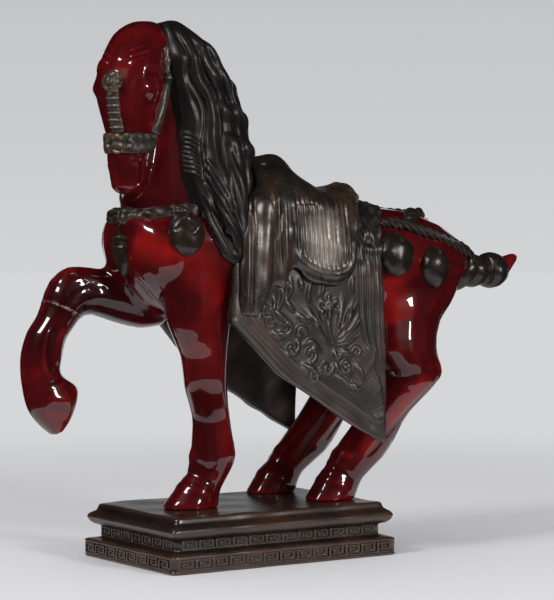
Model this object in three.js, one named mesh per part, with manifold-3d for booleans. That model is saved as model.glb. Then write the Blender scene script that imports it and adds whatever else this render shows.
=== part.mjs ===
// Ceramic horse figurine on a stepped plinth, glazed ox-blood red with a dark bronze slip
// on its mane, saddlery and plinth. Sizes are in millimetres, +Z is up, the horse faces -X
// and its left side faces -Y. Heights on the horse are measured from the plinth's top.
import * as THREE from 'three';
import { mergeVertices } from 'three/addons/utils/BufferGeometryUtils.js';
import Module from 'manifold-3d';

const wasm = await Module();
wasm.setup();

// Plinth
const plinthLength = 190;
const plinthWidth = 124;
const plinthHeight = 38;
const plinthCorner = 3;
const footSlabHeight = 13;
const waistTop = 22.5;
const waistInset = 7.7;
const noseHeight = 28.6;
const noseInset = 1.3;
const topSlabBottom = 33.4;
const topSlabInset = 7.4;
const arrisRadius = 1.2;
const plinthWall = 13;
const plinthRoof = 8;

// Body
const chestX = -101;
const rumpX = 193;
const withersX = 10;
const withersHeight = 239;
const backHeight = 213;
const croupHeight = 210;
const chestTopHeight = 214;
const girthHeight = 170;
const bellyHeight = 123;
const flankHeight = 138;
const chestHalfWidth = 46;
const barrelHalfWidth = 50;
const haunchHalfWidth = 54;

// Neck and head
const crestDrop = 11;
const neckBaseDepth = 56;
const neckBaseWidth = 41;
const throatDepth = 28;
const throatWidth = 22;
const headLength = 120;
const chinRise = 7;
const headX = -96;
const headY = -8;
const headTurn = 32;
const browHalfWidth = 23;
const browHalfDepth = 27.5;
const muzzleHalfWidth = 14.7;
const muzzleHalfDepth = 15.5;

// Legs
const hoofHalfLength = 19;
const hoofHalfWidth = 15.5;
const pasternHalf = 15.5;
const foreCannonHalf = 13.7;
const hindCannonHalf = 16.5;
const kneeHalf = 16;
const hockHalf = 20;
const legHalfWidth = 14;
const leftForeHoofX = -47;
const leftForeHoofY = -8;
const leftHindHoofX = 62;
const leftHindHoofY = -22;
const rightHindHoofX = 51;
const rightHindHoofY = 39;
const hockHeight = 92;
const raisedKneeHeight = 154;
const raisedKneeX = -127;
const raisedLegY = 25;
const raisedHoofHeight = 56;

// Tail
const dockHalf = 10;
const tailLength = 62;
const tailDrop = 39;
const wrapHalf = 13.8;

// Mane, saddle and cloth
const maneThickness = 8;
const maneTipHeight = 168;
const clothThickness = 5;
const clothHang = 4;
const clothTipHeight = 43;
const clothRearX = 87;
const clothFrontX = -41;
const clothFrontHeight = 133;
const foldHalfWidth = 13;
const foldRise = 9;
const pommelRise = 21;
const pommelX = 27;
const pommelHalfWidth = 8;
const seatRise = 9.5;
const seatEdgeRise = 3;
const seatSweep = 24;
const cantleRise = 17.5;
const cantleX = 90;
const skirtThickness = 5;
const skirtPleats = 12;
const skirtPleatDepth = 1;
const skirtLean = 0.27;
const skirtHemHeight = 156;

// Harness
const strapWidth = 10;
const strapRise = 3.2;
const breastStrapDrop = 8;
const bridleWidth = 7;
const bridleRise = 3;
const nosebandHeight = 35;
const pendantRise = 10;
const bellHalfWidth = 13;
const bellHalfHeight = 15;
const leafHalfWidth = 8;
const leafHalfHeight = 15;
const bossHalfWidth = 5.5;
const knobHalfWidth = 7;

// Fits and facets
const seatGap = 0.3;
const ringSides = 14;
const bandSides = 8;
const ringSteps = 2;

const deck = plinthHeight;
const tailHeight = croupHeight - tailDrop;
const chinHeight = chestTopHeight + chinRise;
const crestHeight = chinHeight + headLength - crestDrop;
const breastStrapHeight = chestTopHeight - breastStrapDrop;
const redGlaze = { color: 0x6e0d10, roughness: 0.12, metalness: 0.0 };
const darkSlip = { color: 0x2e2b29, roughness: 0.45, metalness: 0.25 };
const gildedSlip = { color: 0x6a5233, roughness: 0.4, metalness: 0.35 };

const SIDE = new THREE.Vector3(0, 1, 0);
const UP = new THREE.Vector3(0, 0, 1);
const vector = (x, y, z) => new THREE.Vector3(x, y, z);
const radians = THREE.MathUtils.degToRad;
const power = (value, exponent) => Math.sign(value) * Math.abs(value) ** exponent;

/** A smooth curve through rows of numbers, read at row number t. */
function between(rows, t) {
  const i = Math.max(0, Math.min(Math.floor(t), rows.length - 2));
  const f = t - i;
  const row = (k) => rows[Math.max(0, Math.min(rows.length - 1, k))];
  const [p, q, r, s] = [row(i - 1), row(i), row(i + 1), row(i + 2)];
  return q.map((value, k) => 0.5 * (2 * value + (r[k] - p[k]) * f
    + (2 * p[k] - 5 * value + 4 * r[k] - s[k]) * f * f
    + (3 * value - p[k] - 3 * r[k] + s[k]) * f ** 3));
}

/** Joins rings of equal point counts into one closed solid with fanned ends. */
function loft(rings) {
  const count = rings[0].length;
  const points = rings.flat();
  const faces = [];
  for (let r = 0; r + 1 < rings.length; r += 1) {
    for (let k = 0; k < count; k += 1) {
      const a = r * count + k;
      const b = r * count + ((k + 1) % count);
      faces.push(a, b, b + count, a, b + count, a + count);
    }
  }
  const cap = (ring, start, flip) => {
    const middle = ring.reduce((sum, p) => sum.add(p), vector(0, 0, 0)).divideScalar(count);
    const tip = points.push(middle) - 1;
    for (let k = 0; k < count; k += 1) {
      const pair = [start + k, start + ((k + 1) % count)];
      if (flip) pair.reverse();
      faces.push(tip, ...pair);
    }
  };
  cap(rings[0], 0, true);
  cap(rings.at(-1), (rings.length - 1) * count, false);
  return solidFrom(points.flatMap((p) => [p.x, p.y, p.z]), faces);
}

/** A solid from raw positions and faces, turned right side out. */
function solidFrom(positions, faces) {
  let geometry = new THREE.BufferGeometry();
  geometry.setAttribute('position', new THREE.Float32BufferAttribute(positions, 3));
  geometry.setIndex(faces);
  geometry = mergeVertices(geometry, 1e-4);
  const corners = geometry.attributes.position;
  const index = Array.from(geometry.index.array);
  const [a, b, c] = [vector(0, 0, 0), vector(0, 0, 0), vector(0, 0, 0)];
  const kept = [];
  let volume = 0;
  for (let k = 0; k < index.length; k += 3) {
    const [i, j, l] = index.slice(k, k + 3);
    if (i !== j && j !== l && l !== i) {
      kept.push(i, j, l);
      a.fromBufferAttribute(corners, i);
      b.fromBufferAttribute(corners, j);
      c.fromBufferAttribute(corners, l);
      volume += a.dot(b.cross(c));
    }
  }
  if (volume < 0) kept.reverse();
  return new wasm.Manifold(new wasm.Mesh({
    numProp: 3,
    vertProperties: new Float32Array(corners.array),
    triVerts: new Uint32Array(kept),
  }));
}

/** A three.js geometry from a solid. */
function geometryFrom(solid) {
  const mesh = solid.getMesh();
  const geometry = new THREE.BufferGeometry();
  geometry.setAttribute('position', new THREE.Float32BufferAttribute(mesh.vertProperties, 3));
  geometry.setIndex(Array.from(mesh.triVerts));
  return geometry;
}

/** The main body of a cut solid, without the slivers that a tangent cut leaves. */
function mainBody(solid) {
  const bodies = solid.decompose();
  return bodies.reduce((best, body) => (body.volume() > best.volume() ? body : best));
}

const pieces = {};
const clearances = {};
const meshes = {};

/**
 * Makes one piece and seats it: whatever it rests on is cut out of it, larger by the gap.
 * The maker is called with how much larger than life the shape has to be.
 */
function piece(name, finish, restsOn, maker) {
  let solid = maker(0);
  for (const support of restsOn) solid = solid.subtract(clearances[support]);
  pieces[name] = mainBody(solid);
  clearances[name] = maker(seatGap);
  const geometry = geometryFrom(pieces[name]);
  geometry.computeVertexNormals();
  meshes[name] = new THREE.Mesh(geometry, new THREE.MeshStandardMaterial(finish));
  meshes[name].name = name;
  return meshes[name];
}

/** An oval ring round a centre, across the plane of two directions. */
function ovalRing(centre, first, second, halfFirst, halfSecond, sides = ringSides, square = 1) {
  return Array.from({ length: sides }, (_, k) => {
    const angle = (k / sides) * 2 * Math.PI;
    return centre.clone()
      .addScaledVector(first, halfFirst * power(Math.cos(angle), square))
      .addScaledVector(second, halfSecond * power(Math.sin(angle), square));
  });
}

/**
 * A limb through stations of [x, y, z, tilt, half depth, half width]. A tilt of 0 lays the
 * section level and 90 stands it across the horse's length.
 */
function limb(stations, grow, { sides = ringSides, steps = ringSteps, square = 1 } = {}) {
  const rings = [];
  const last = (stations.length - 1) * steps;
  for (let k = 0; k <= last; k += 1) {
    const [x, y, z, tilt, deep, wide] = between(stations, k / steps);
    const along = vector(Math.cos(radians(tilt)), 0, Math.sin(radians(tilt)));
    const outward = vector(-along.z, 0, along.x);
    const ends = { 0: -1, [last]: 1 };
    const [x2, , z2] = between(stations, Math.min(last, k + 1) / steps);
    const [x1, , z1] = between(stations, Math.max(0, k - 1) / steps);
    const heading = Math.sign(outward.x * (x2 - x1) + outward.z * (z2 - z1)) || 1;
    const centre = vector(x, y, z).addScaledVector(outward, (ends[k] ?? 0) * heading * grow);
    rings.push(ovalRing(centre, along, SIDE, deep + grow, wide + grow, sides, square));
  }
  return loft(rings);
}

/** Closes a band's section round a path of {p, n, w, up, down}: w is its half width. */
function band(path, grow, { sides = bandSides, square = 0.75 } = {}) {
  const rings = path.map(({ p, n, w, up, down }, k) => {
    const before = path[Math.max(0, k - 1)].p;
    const after = path[Math.min(path.length - 1, k + 1)].p;
    const heading = after.clone().sub(before).normalize();
    const across = heading.clone().cross(n).normalize();
    const out = across.clone().cross(heading).normalize();
    const end = k === 0 ? -grow : (k === path.length - 1 ? grow : 0);
    const centre = p.clone().addScaledVector(heading, end);
    return Array.from({ length: sides }, (_, j) => {
      const angle = ((j + 0.5) / sides) * 2 * Math.PI;
      const rise = Math.sin(angle) > 0 ? up + grow : down + grow;
      return centre.clone()
        .addScaledVector(across, (w + grow) * power(Math.cos(angle), square))
        .addScaledVector(out, rise * power(Math.sin(angle), square));
    });
  });
  return loft(rings);
}

// Torso sections: [x, top, widest height, lowest, half width]
const torsoRows = [
  [chestX, chestTopHeight - 16, girthHeight + 24, girthHeight + 18, 6],
  [chestX + 2, chestTopHeight - 7, girthHeight + 24, girthHeight + 2, 22],
  [chestX + 9, chestTopHeight - 6, girthHeight + 20, bellyHeight + 35, chestHalfWidth - 11],
  [chestX + 24, chestTopHeight, girthHeight + 16, bellyHeight + 23, chestHalfWidth - 2],
  [chestX + 46, chestTopHeight + 12, girthHeight + 12, bellyHeight + 13, chestHalfWidth],
  [chestX + 76, withersHeight - 3, girthHeight + 8, bellyHeight + 7, barrelHalfWidth - 1],
  [withersX, withersHeight, girthHeight + 2, bellyHeight + 1, barrelHalfWidth],
  [withersX + 35, backHeight + 3, girthHeight - 4, bellyHeight, barrelHalfWidth + 0.5],
  [withersX + 70, backHeight - 1, girthHeight - 6, bellyHeight + 3, barrelHalfWidth + 1],
  [rumpX - 78, croupHeight + 1, croupHeight - 44, flankHeight - 8, haunchHalfWidth],
  [rumpX - 49, croupHeight - 3, croupHeight - 42, flankHeight, haunchHalfWidth - 2],
  [rumpX - 26, croupHeight - 13, croupHeight - 41, croupHeight - 62, haunchHalfWidth - 9],
  [rumpX - 9, croupHeight - 26, croupHeight - 40, croupHeight - 52, haunchHalfWidth - 22],
  [rumpX - 2, tailHeight + 5, tailHeight - 1, tailHeight - 8, 13],
  [rumpX, tailHeight + 1, tailHeight - 1, tailHeight - 3, 5],
];
const torsoSquare = 0.9;

/** The torso's surface at row number t; the angle runs from the spine round to the left. */
function torsoPoint(t, angle, grow) {
  const [x, top, middle, low, half] = between(torsoRows, t);
  const rise = Math.cos(angle) > 0 ? top - middle : middle - low;
  return vector(
    x,
    -(half + grow) * power(Math.sin(angle), torsoSquare),
    deck + middle + (rise + grow) * power(Math.cos(angle), torsoSquare),
  );
}

function torsoSolid(grow) {
  const rings = [];
  const last = (torsoRows.length - 1) * ringSteps;
  const sides = ringSides + 8;
  for (let k = 0; k <= last; k += 1) {
    rings.push(Array.from({ length: sides }, (_, j) => {
      const point = torsoPoint(k / ringSteps, (j / sides) * 2 * Math.PI, grow);
      if (k === 0) point.x -= grow;
      if (k === last) point.x += grow;
      return point;
    }));
  }
  return loft(rings);
}

/** The torso row number at a place along the horse. */
function torsoRowAt(x) {
  let [low, high] = [0, torsoRows.length - 1];
  for (let k = 0; k < 40; k += 1) {
    const middle = (low + high) / 2;
    if (between(torsoRows, middle)[0] < x) low = middle;
    else high = middle;
  }
  return low;
}

/**
 * A point of cloth laid over the back at x. It follows the torso round by the angle in
 * degrees, positive to the left, and then hangs down by drop. The lift is out from the torso.
 */
function drape(x, angle, drop, lift) {
  const t = torsoRowAt(x);
  const p = torsoPoint(t, radians(angle), 0);
  const a = torsoPoint(t, radians(angle + 0.5), 0);
  const b = torsoPoint(t, radians(angle - 0.5), 0);
  const n = vector(0, a.z - b.z, -(a.y - b.y)).normalize();
  if (n.dot(vector(0, p.y, p.z - deck - bellyHeight)) < 0) n.negate();
  return { p: p.addScaledVector(n, lift).add(vector(0, 0, -drop)), n };
}

/** How high the back is, above the deck, at a place along the horse. */
const spineHeight = (x) => between(torsoRows, torsoRowAt(x))[1];

/** The plinth: one profile carried round a rectangle with small corner radii. */
function plinthSolid(grow) {
  const profile = [
    [plinthWall, plinthHeight - plinthRoof],
    [plinthWall, 0],
    [arrisRadius / 2, 0],
    [0, arrisRadius / 2],
    [0, footSlabHeight - arrisRadius],
    [arrisRadius, footSlabHeight],
    [waistInset - 0.8, footSlabHeight + 0.4],
    [waistInset, footSlabHeight + 1.5],
    [waistInset + 0.6, (footSlabHeight + waistTop) / 2],
    [waistInset, waistTop - 0.5],
    [waistInset - 2.5, waistTop + 0.6],
    [noseInset + 1.4, noseHeight - 3.2],
    [noseInset, noseHeight],
    [noseInset + 1.4, noseHeight + 2.4],
    [topSlabInset - 1.6, topSlabBottom - 0.6],
    [topSlabInset - 0.2, topSlabBottom],
    [topSlabInset, plinthHeight - arrisRadius],
    [topSlabInset + arrisRadius * 0.3, plinthHeight - arrisRadius * 0.3],
    [topSlabInset + arrisRadius, plinthHeight],
  ];
  const outer = grow > 0 ? [[plinthWall, -grow], ...profile.slice(2)] : profile;
  return loft(outer.map(([inset, height]) => rectangleRing(
    plinthLength / 2 - inset + grow,
    plinthWidth / 2 - inset + grow,
    height + (height > plinthHeight / 2 ? grow : 0),
  )));
}

function rectangleRing(halfLength, halfWidth, height) {
  const ring = [];
  const corners = [[1, 1], [-1, 1], [-1, -1], [1, -1]];
  corners.forEach(([sx, sy], k) => {
    for (let j = 0; j <= 2; j += 1) {
      const angle = ((k + j / 2) * Math.PI) / 2;
      ring.push(vector(
        sx * (halfLength - plinthCorner) + plinthCorner * Math.cos(angle),
        sy * (halfWidth - plinthCorner) + plinthCorner * Math.sin(angle),
        height,
      ));
    }
  });
  return ring;
}

// Neck, from inside the chest up to the poll: [x, y, z, tilt, half depth, half width]
const neckRows = [
  [chestX + 75, 0, deck + chestTopHeight - 36, 30, neckBaseDepth + 4, neckBaseWidth + 2],
  [chestX + 65, 0, deck + chestTopHeight - 10, 20, neckBaseDepth, neckBaseWidth],
  [chestX + 56, 0, deck + chestTopHeight + 12, 10, neckBaseDepth - 4, neckBaseWidth - 6],
  [chestX + 53, 0, deck + chestTopHeight + 36, 4, throatDepth + 15, throatWidth + 7],
  [chestX + 50, 0, deck + crestHeight - 55, 0, throatDepth + 6, throatWidth + 3],
  [chestX + 45, -1, deck + crestHeight - 32, -4, throatDepth, throatWidth],
  [chestX + 39, -2, deck + crestHeight - 12, -8, throatDepth - 5, throatWidth - 3],
  [chestX + 35, -2, deck + crestHeight, -8, throatDepth - 14, throatWidth - 10],
];

// Head before it is turned: [back from its axis, height above the chin, half depth, half width]
const headRows = [
  [-0.5, 0, 6, 7],
  [-2, 5, muzzleHalfDepth - 4.5, muzzleHalfWidth - 3.7],
  [-2.3, 13, muzzleHalfDepth - 2.2, muzzleHalfWidth - 2.4],
  [-1.5, 24, muzzleHalfDepth, muzzleHalfWidth],
  [0, 34, muzzleHalfDepth - 0.5, muzzleHalfWidth],
  [0.5, 44, muzzleHalfDepth + 3, muzzleHalfWidth + 1.9],
  [1, 58, browHalfDepth - 3.5, browHalfWidth - 3],
  [1.2, 72, browHalfDepth - 0.7, browHalfWidth - 0.3],
  [4, 86, browHalfDepth - 2.5, browHalfWidth],
  [10.5, headLength - 21, browHalfDepth - 6.5, browHalfWidth - 1],
  [16.5, headLength - 9.5, browHalfDepth - 10.5, browHalfWidth - 4],
  [20.5, headLength - 2.5, browHalfDepth - 17, browHalfWidth - 11],
  [22, headLength, 5, 5],
];

const headAxis = vector(headX, headY, 0);
/** Turns a point from the head's own frame about its upright axis into the figure's. */
function turnHead(point) {
  return point.applyAxisAngle(UP, radians(headTurn)).add(headAxis);
}

function headSolid(grow) {
  const rings = [];
  const last = (headRows.length - 1) * 2;
  for (let k = 0; k <= last; k += 1) {
    const [back, height, deep, wide] = between(headRows, k / 2);
    const lift = k === 0 ? -grow : (k === last ? grow : 0);
    const centre = vector(back, 0, deck + chinHeight + height + lift);
    const ring = ovalRing(centre, vector(1, 0, 0), SIDE, deep + grow, wide + grow, ringSides, 0.92);
    rings.push(ring.map(turnHead));
  }
  return loft(rings);
}

/** The head row number at a height above the chin. */
function headRowAt(height) {
  let [low, high] = [0, headRows.length - 1];
  for (let k = 0; k < 40; k += 1) {
    const middle = (low + high) / 2;
    if (between(headRows, middle)[1] < height) low = middle;
    else high = middle;
  }
  return low;
}

// Left foreleg, straight under the shoulder, from the elbow down to its sole
const elbowX = chestX + 49;
const leftForeRows = [
  [elbowX - 4, -27, deck + bellyHeight + 69, 0, 32, 17],
  [elbowX - 2, -27, deck + bellyHeight + 37, 0, 28, 19],
  [elbowX + 1, -26, deck + bellyHeight + 7, 0, kneeHalf + 7.5, 17],
  [elbowX + 9, -20, deck + bellyHeight - 15, 0, kneeHalf + 1.5, legHalfWidth + 1],
  [elbowX + 14, -14, deck + 85, 0, kneeHalf, legHalfWidth - 0.5],
  [leftForeHoofX + 15, -11, deck + 65, 0, foreCannonHalf, legHalfWidth - 2],
  [leftForeHoofX + 17, -10, deck + 50, 0, foreCannonHalf + 1.2, legHalfWidth - 1.5],
  [leftForeHoofX + 18, -9, deck + 36, 0, pasternHalf + 1.5, legHalfWidth - 0.5],
  [leftForeHoofX + 15, -8, deck + 25, 0, pasternHalf + 0.5, legHalfWidth - 0.5],
  [leftForeHoofX + 6, leftForeHoofY, deck + 13, 0, hoofHalfLength - 2, hoofHalfWidth - 1.5],
  [leftForeHoofX + 1, leftForeHoofY, deck + 4, 0, hoofHalfLength + 1, hoofHalfWidth],
  [leftForeHoofX, leftForeHoofY, deck - 1, 0, hoofHalfLength + 1.5, hoofHalfWidth],
];

/** A hind leg from the haunch to its sole; the two differ only in where the hoof stands. */
function hindRows(side, hoofX, hoofY) {
  const hipY = 37;
  const at = (share) => side * hipY * (1 - share) + hoofY * share;
  const cannon = (share) => hoofX + (rumpX - 70 - hoofX) * share;
  return [
    [rumpX - 63, side * 22, deck + flankHeight + 38, 0, 38, 23],
    [rumpX - 66, side * 29, deck + flankHeight + 14, 0, 43, 24],
    [rumpX - 74, side * 34, deck + flankHeight - 10, 0, hockHalf + 11, 21],
    [rumpX - 76, side * hipY, deck + hockHeight + 16, 0, hockHalf + 6, 18],
    [rumpX - 67, at(0.1), deck + hockHeight, 0, hockHalf + 1, 16],
    [rumpX - 71, at(0.25), deck + hockHeight - 12, 0, hockHalf - 1, 15],
    [cannon(0.74), at(0.5), deck + 62, 0, hindCannonHalf + 2, legHalfWidth],
    [cannon(0.53), at(0.7), deck + 43, 0, hindCannonHalf + 5, legHalfWidth],
    [cannon(0.37), at(0.85), deck + 29, 0, pasternHalf + 6.5, legHalfWidth],
    [hoofX + 10, hoofY, deck + 15, 0, pasternHalf + 2.5, legHalfWidth],
    [hoofX + 3, hoofY, deck + 4, 0, hoofHalfLength, hoofHalfWidth - 0.5],
    [hoofX, hoofY, deck - 1, 0, hoofHalfLength, hoofHalfWidth - 0.5],
  ];
}

// Raised foreleg, in two castings that meet at a seam below the knee
const seamRow = [raisedKneeX - 5, raisedLegY, deck + raisedKneeHeight - 13, 155, kneeHalf - 1.5, 15];
const forearmRows = [
  [chestX + 49, 20, deck + raisedKneeHeight + 4, 90, 30, 20],
  [chestX + 31, 23, deck + raisedKneeHeight - 2, 90, 26, 21],
  [chestX + 11, raisedLegY, deck + raisedKneeHeight - 4, 90, 19, 18],
  [raisedKneeX + 19, raisedLegY, deck + raisedKneeHeight - 1, 93, kneeHalf + 0.5, 16],
  [raisedKneeX + 7, raisedLegY, deck + raisedKneeHeight - 1, 105, kneeHalf + 2, 16],
  [raisedKneeX, raisedLegY, deck + raisedKneeHeight - 5, 130, kneeHalf + 1.5, 15.5],
  seamRow,
];
const raisedFetlockX = raisedKneeX - 21;
const toeZ = deck + raisedHoofHeight;
const lowerForeRows = [
  seamRow,
  [raisedFetlockX + 10, raisedLegY, deck + raisedKneeHeight - 23, 158, kneeHalf - 3, legHalfWidth],
  [raisedFetlockX + 4, raisedLegY, toeZ + 67, 164, foreCannonHalf, legHalfWidth],
  [raisedFetlockX, raisedLegY, toeZ + 53, 172, foreCannonHalf + 1, legHalfWidth],
  [raisedFetlockX - 1, raisedLegY, toeZ + 41, 182, foreCannonHalf, legHalfWidth],
  [raisedFetlockX + 4, raisedLegY, toeZ + 31, 194, pasternHalf + 2, legHalfWidth],
  [raisedFetlockX + 9, raisedLegY, toeZ + 23, 202, hoofHalfLength + 1, hoofHalfWidth],
  [raisedFetlockX + 12, raisedLegY, toeZ + 14, 208, hoofHalfLength - 3, hoofHalfWidth - 1],
  [raisedFetlockX + 13, raisedLegY, toeZ + 6, 212, 10, hoofHalfWidth - 4],
  [raisedFetlockX + 12, raisedLegY, toeZ, 214, 4, 7],
];

// Tail: a short dock, bound with a double knot, and its tip
const tailRows = [
  [rumpX - 14, 0, deck + tailHeight, 90, dockHalf - 1, dockHalf - 1],
  [rumpX + 3, 0, deck + tailHeight - 3, 90, dockHalf, dockHalf],
  [rumpX + 16, 0, deck + tailHeight - 7, 90, dockHalf, dockHalf],
  [rumpX + 30, 0, deck + tailHeight - 9, 90, dockHalf - 1, dockHalf - 1.5],
  [rumpX + 44, 0, deck + tailHeight - 8, 90, dockHalf - 1, dockHalf - 2],
  [rumpX + tailLength - 8, 0, deck + tailHeight - 2, 90, 5.5, 5],
  [rumpX + tailLength - 2, 0, deck + tailHeight + 1, 90, 2, 2],
];
const wrapRows = [
  [9, 5], [12, 2], [16, 1], [20, 1.6], [24.5, 4], [28.5, 1.4], [34, 0], [40, 1], [45, 3.8], [47, 6],
].map(([back, less]) => [
  rumpX + back, 0, deck + tailHeight - 8.5, 90, wrapHalf - less, wrapHalf - less,
]);

// Mane: a crescent round the crest that spreads over the left shoulder
const maneHalf = throatWidth + maneThickness;
const maneRows = [
  [chestX + 41, -1, deck + crestHeight + 12, 0, 4, 5],
  [chestX + 41, -2, deck + crestHeight + 9, 0, 11, 13],
  [chestX + 43, -4, deck + crestHeight + 1, 0, 16, maneHalf - 9],
  [chestX + 47, -5, deck + crestHeight - 14, 0, 25, maneHalf],
  [chestX + 54, -5, deck + crestHeight - 34, 0, 30, maneHalf],
  [chestX + 60, -5, deck + crestHeight - 55, 0, 33, maneHalf + 2],
  [chestX + 64, -6, deck + crestHeight - 78, 0, 36, maneHalf + 7],
  [chestX + 61, -12, deck + maneTipHeight + 64, 0, 31, maneHalf + 9],
  [chestX + 62, -20, deck + maneTipHeight + 40, 0, 25, maneHalf + 5],
  [chestX + 67, -30, deck + maneTipHeight + 20, 0, 23, maneHalf - 6],
  [chestX + 69, -37, deck + maneTipHeight + 7, 0, 15, maneHalf - 13],
  [chestX + 69, -42, deck + maneTipHeight, 0, 4, 6],
];

piece('plinth', darkSlip, [], plinthSolid);
piece('torso', redGlaze, [], torsoSolid);
piece('neck', redGlaze, ['torso'], (grow) => limb(neckRows, grow));
piece('head', redGlaze, ['neck', 'torso'], headSolid);
piece('left_foreleg', redGlaze, ['plinth', 'torso', 'neck'], (grow) => limb(leftForeRows, grow));
piece('right_forearm', redGlaze, ['torso', 'neck', 'left_foreleg'], (grow) => limb(forearmRows, grow));
piece('right_lower_foreleg', redGlaze, ['right_forearm'], (grow) => limb(lowerForeRows, grow));
piece('left_hindleg', redGlaze, ['plinth', 'torso'],
  (grow) => limb(hindRows(-1, leftHindHoofX, leftHindHoofY), grow));
piece('right_hindleg', redGlaze, ['plinth', 'torso', 'left_hindleg'],
  (grow) => limb(hindRows(1, rightHindHoofX, rightHindHoofY), grow));
piece('tail', redGlaze, ['torso'], (grow) => limb(tailRows, grow, { sides: 12 }));
piece('tail_wrap', darkSlip, ['tail', 'torso'], (grow) => limb(wrapRows, grow, { steps: 1 }));
piece('mane', darkSlip, ['torso', 'neck', 'head', 'left_foreleg'],
  (grow) => limb(maneRows, grow, { sides: ringSides + 2 }));

const caster = new THREE.Raycaster();
/**
 * Where a line from outside first meets the named pieces, with the way their surface faces. A
 * line that passes them by is aimed at the middle of the first one instead.
 */
function touch(names, from, towards) {
  const targets = names.map((name) => meshes[name]);
  const middle = new THREE.Box3().setFromObject(targets[0]).getCenter(vector(0, 0, 0));
  const ways = [towards, middle.sub(from)];
  const hits = ways.flatMap((way) => {
    caster.set(from, way.clone().normalize());
    return caster.intersectObjects(targets).slice(0, 1);
  });
  return { p: hits[0].point.clone(), n: hits[0].face.normal.clone() };
}

/** A point on the cloth's bed at x and a height: round the torso, then straight down. */
function bed(x, height, side, lift) {
  const middle = between(torsoRows, torsoRowAt(x))[2];
  const drop = Math.max(0, middle - height);
  let [low, high] = [0, 90];
  for (let k = 0; k < 30; k += 1) {
    const angle = (low + high) / 2;
    if (drape(x, angle, 0, lift).p.z > deck + height) low = angle;
    else high = angle;
  }
  const { p, n } = drape(x, drop > 0 ? 90 : low, drop, lift + (drop * clothHang) / 100);
  p.y *= -side;
  n.y *= -side;
  return { p, n };
}

/** Keeps what lies inside an outline drawn in the side view, on one side of the horse. */
function sidePrism(outline, side, grow) {
  const depth = 90;
  const flat = outline.map(([x, z], k) => {
    const [x1, z1] = outline[(k + outline.length - 1) % outline.length];
    const [x2, z2] = outline[(k + 1) % outline.length];
    const length = Math.hypot(x2 - x1, z2 - z1);
    const share = grow / length;
    return new THREE.Vector2(x + share * (z2 - z1), deck + z - share * (x2 - x1));
  });
  const shape = new THREE.ExtrudeGeometry(new THREE.Shape(flat), { depth, bevelEnabled: false });
  shape.rotateX(Math.PI / 2);
  shape.translate(0, side > 0 ? depth - grow : grow, 0);
  const flatShape = new THREE.BufferGeometry();
  flatShape.setAttribute('position', shape.attributes.position);
  const merged = mergeVertices(flatShape, 1e-3);
  return solidFrom(Array.from(merged.attributes.position.array), Array.from(merged.index.array));
}

/** A curve through a few outline points, as [x, height] pairs. */
function curve(points, count) {
  const line = new THREE.CatmullRomCurve3(points.map(([x, z]) => vector(x, 0, z)), false, 'centripetal');
  return line.getPoints(count).map((p) => [p.x, p.z]);
}

/**
 * A shell laid over one side of the horse. It goes round the torso by the angles given and hangs
 * to the bottom height; outer gives its outer lift at a share of its length. Its ribs lean back
 * by the given length for each degree that they rise round the torso.
 */
function drapedShell({ from, to, count, round, bottom, inner, outer, side, grow, lean = 0 }) {
  const rings = [];
  for (let k = 0; k <= count; k += 1) {
    const end = k === 0 ? -grow : (k === count ? grow : 0);
    const x = from + ((to - from) * k) / count;
    const [, top, middle] = between(torsoRows, torsoRowAt(x));
    const hang = [0.5, 1].map((share) => [90, share * (middle - bottom)]);
    const place = ([angle, drop], lift) => {
      const leant = x + lean * (90 - angle);
      const { p } = drape(leant, angle, drop, lift + (drop * clothHang) / 100);
      p.y *= -side;
      p.x += end;
      return p;
    };
    const stops = [...round.map((angle) => [angle, 0]), ...hang];
    rings.push([
      ...stops.map((stop) => place(stop, inner - grow)),
      ...stops.reverse().map((stop) => place(stop, outer(k / count, x, top) + grow)),
    ]);
  }
  return loft(rings);
}

// Saddle cloth: a shield-shaped flap each side, its hem running back and down to a point
const clothFront = curve([
  [53, 23], [39, 11], [25, -5], [11, -26], [5, -46], [2, -79],
].map(([back, up]) => [clothFrontX + back, withersHeight + up])
  .concat([[clothFrontX, clothFrontHeight]]), 9);
const clothHem = curve([
  [0, 0.99], [0.11, 0.83], [0.28, 0.59], [0.49, 0.4], [0.72, 0.2], [0.87, 0.07], [0.97, 0],
].map(([along, up]) => [
  clothFrontX + (clothRearX - clothFrontX) * along,
  clothTipHeight + (clothFrontHeight - clothTipHeight) * up,
]), 9);
const clothRear = curve([
  [clothRearX - 1, clothTipHeight + 2], [clothRearX, croupHeight - 90], [clothRearX, croupHeight - 26],
  [clothRearX + 9, croupHeight - 7], [clothRearX + 24, croupHeight + 5], [clothRearX + 28, croupHeight + 52],
], 8);
const clothOutline = [...clothFront, ...clothHem, ...clothRear];

function clothSolid(side, grow) {
  const shell = drapedShell({
    from: clothFrontX - 4,
    to: clothRearX + 32,
    count: 14,
    round: [-4, 15, 34, 53, 72, 90],
    bottom: clothTipHeight - 6,
    inner: -1,
    outer: () => clothThickness,
    side,
    grow,
  });
  return shell.intersect(sidePrism(clothOutline, side, grow));
}

const eachSide = [['left', -1], ['right', 1]];
/** The left one of a pair, which the right one meets along the spine. */
const partner = (name, side) => (side > 0 ? [`${name}_left`] : []);
const body = ['torso', 'neck', 'left_foreleg', 'right_forearm', 'left_hindleg', 'right_hindleg'];
for (const [name, side] of eachSide) {
  piece(`saddle_cloth_${name}`, darkSlip, [...body, 'mane', ...partner('saddle_cloth', side)],
    (grow) => clothSolid(side, grow));
}
const cloths = ['saddle_cloth_left', 'saddle_cloth_right'];

/** A roll along a route of [x, height, lift, half width, rise], over one or both sides. */
function rollPath(route, side, sink) {
  return route.map(([x, height, lift, w, up]) => {
    const { p, n } = bed(x, height, side, lift);
    return { p, n, w, up, down: sink + lift };
  });
}

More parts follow.
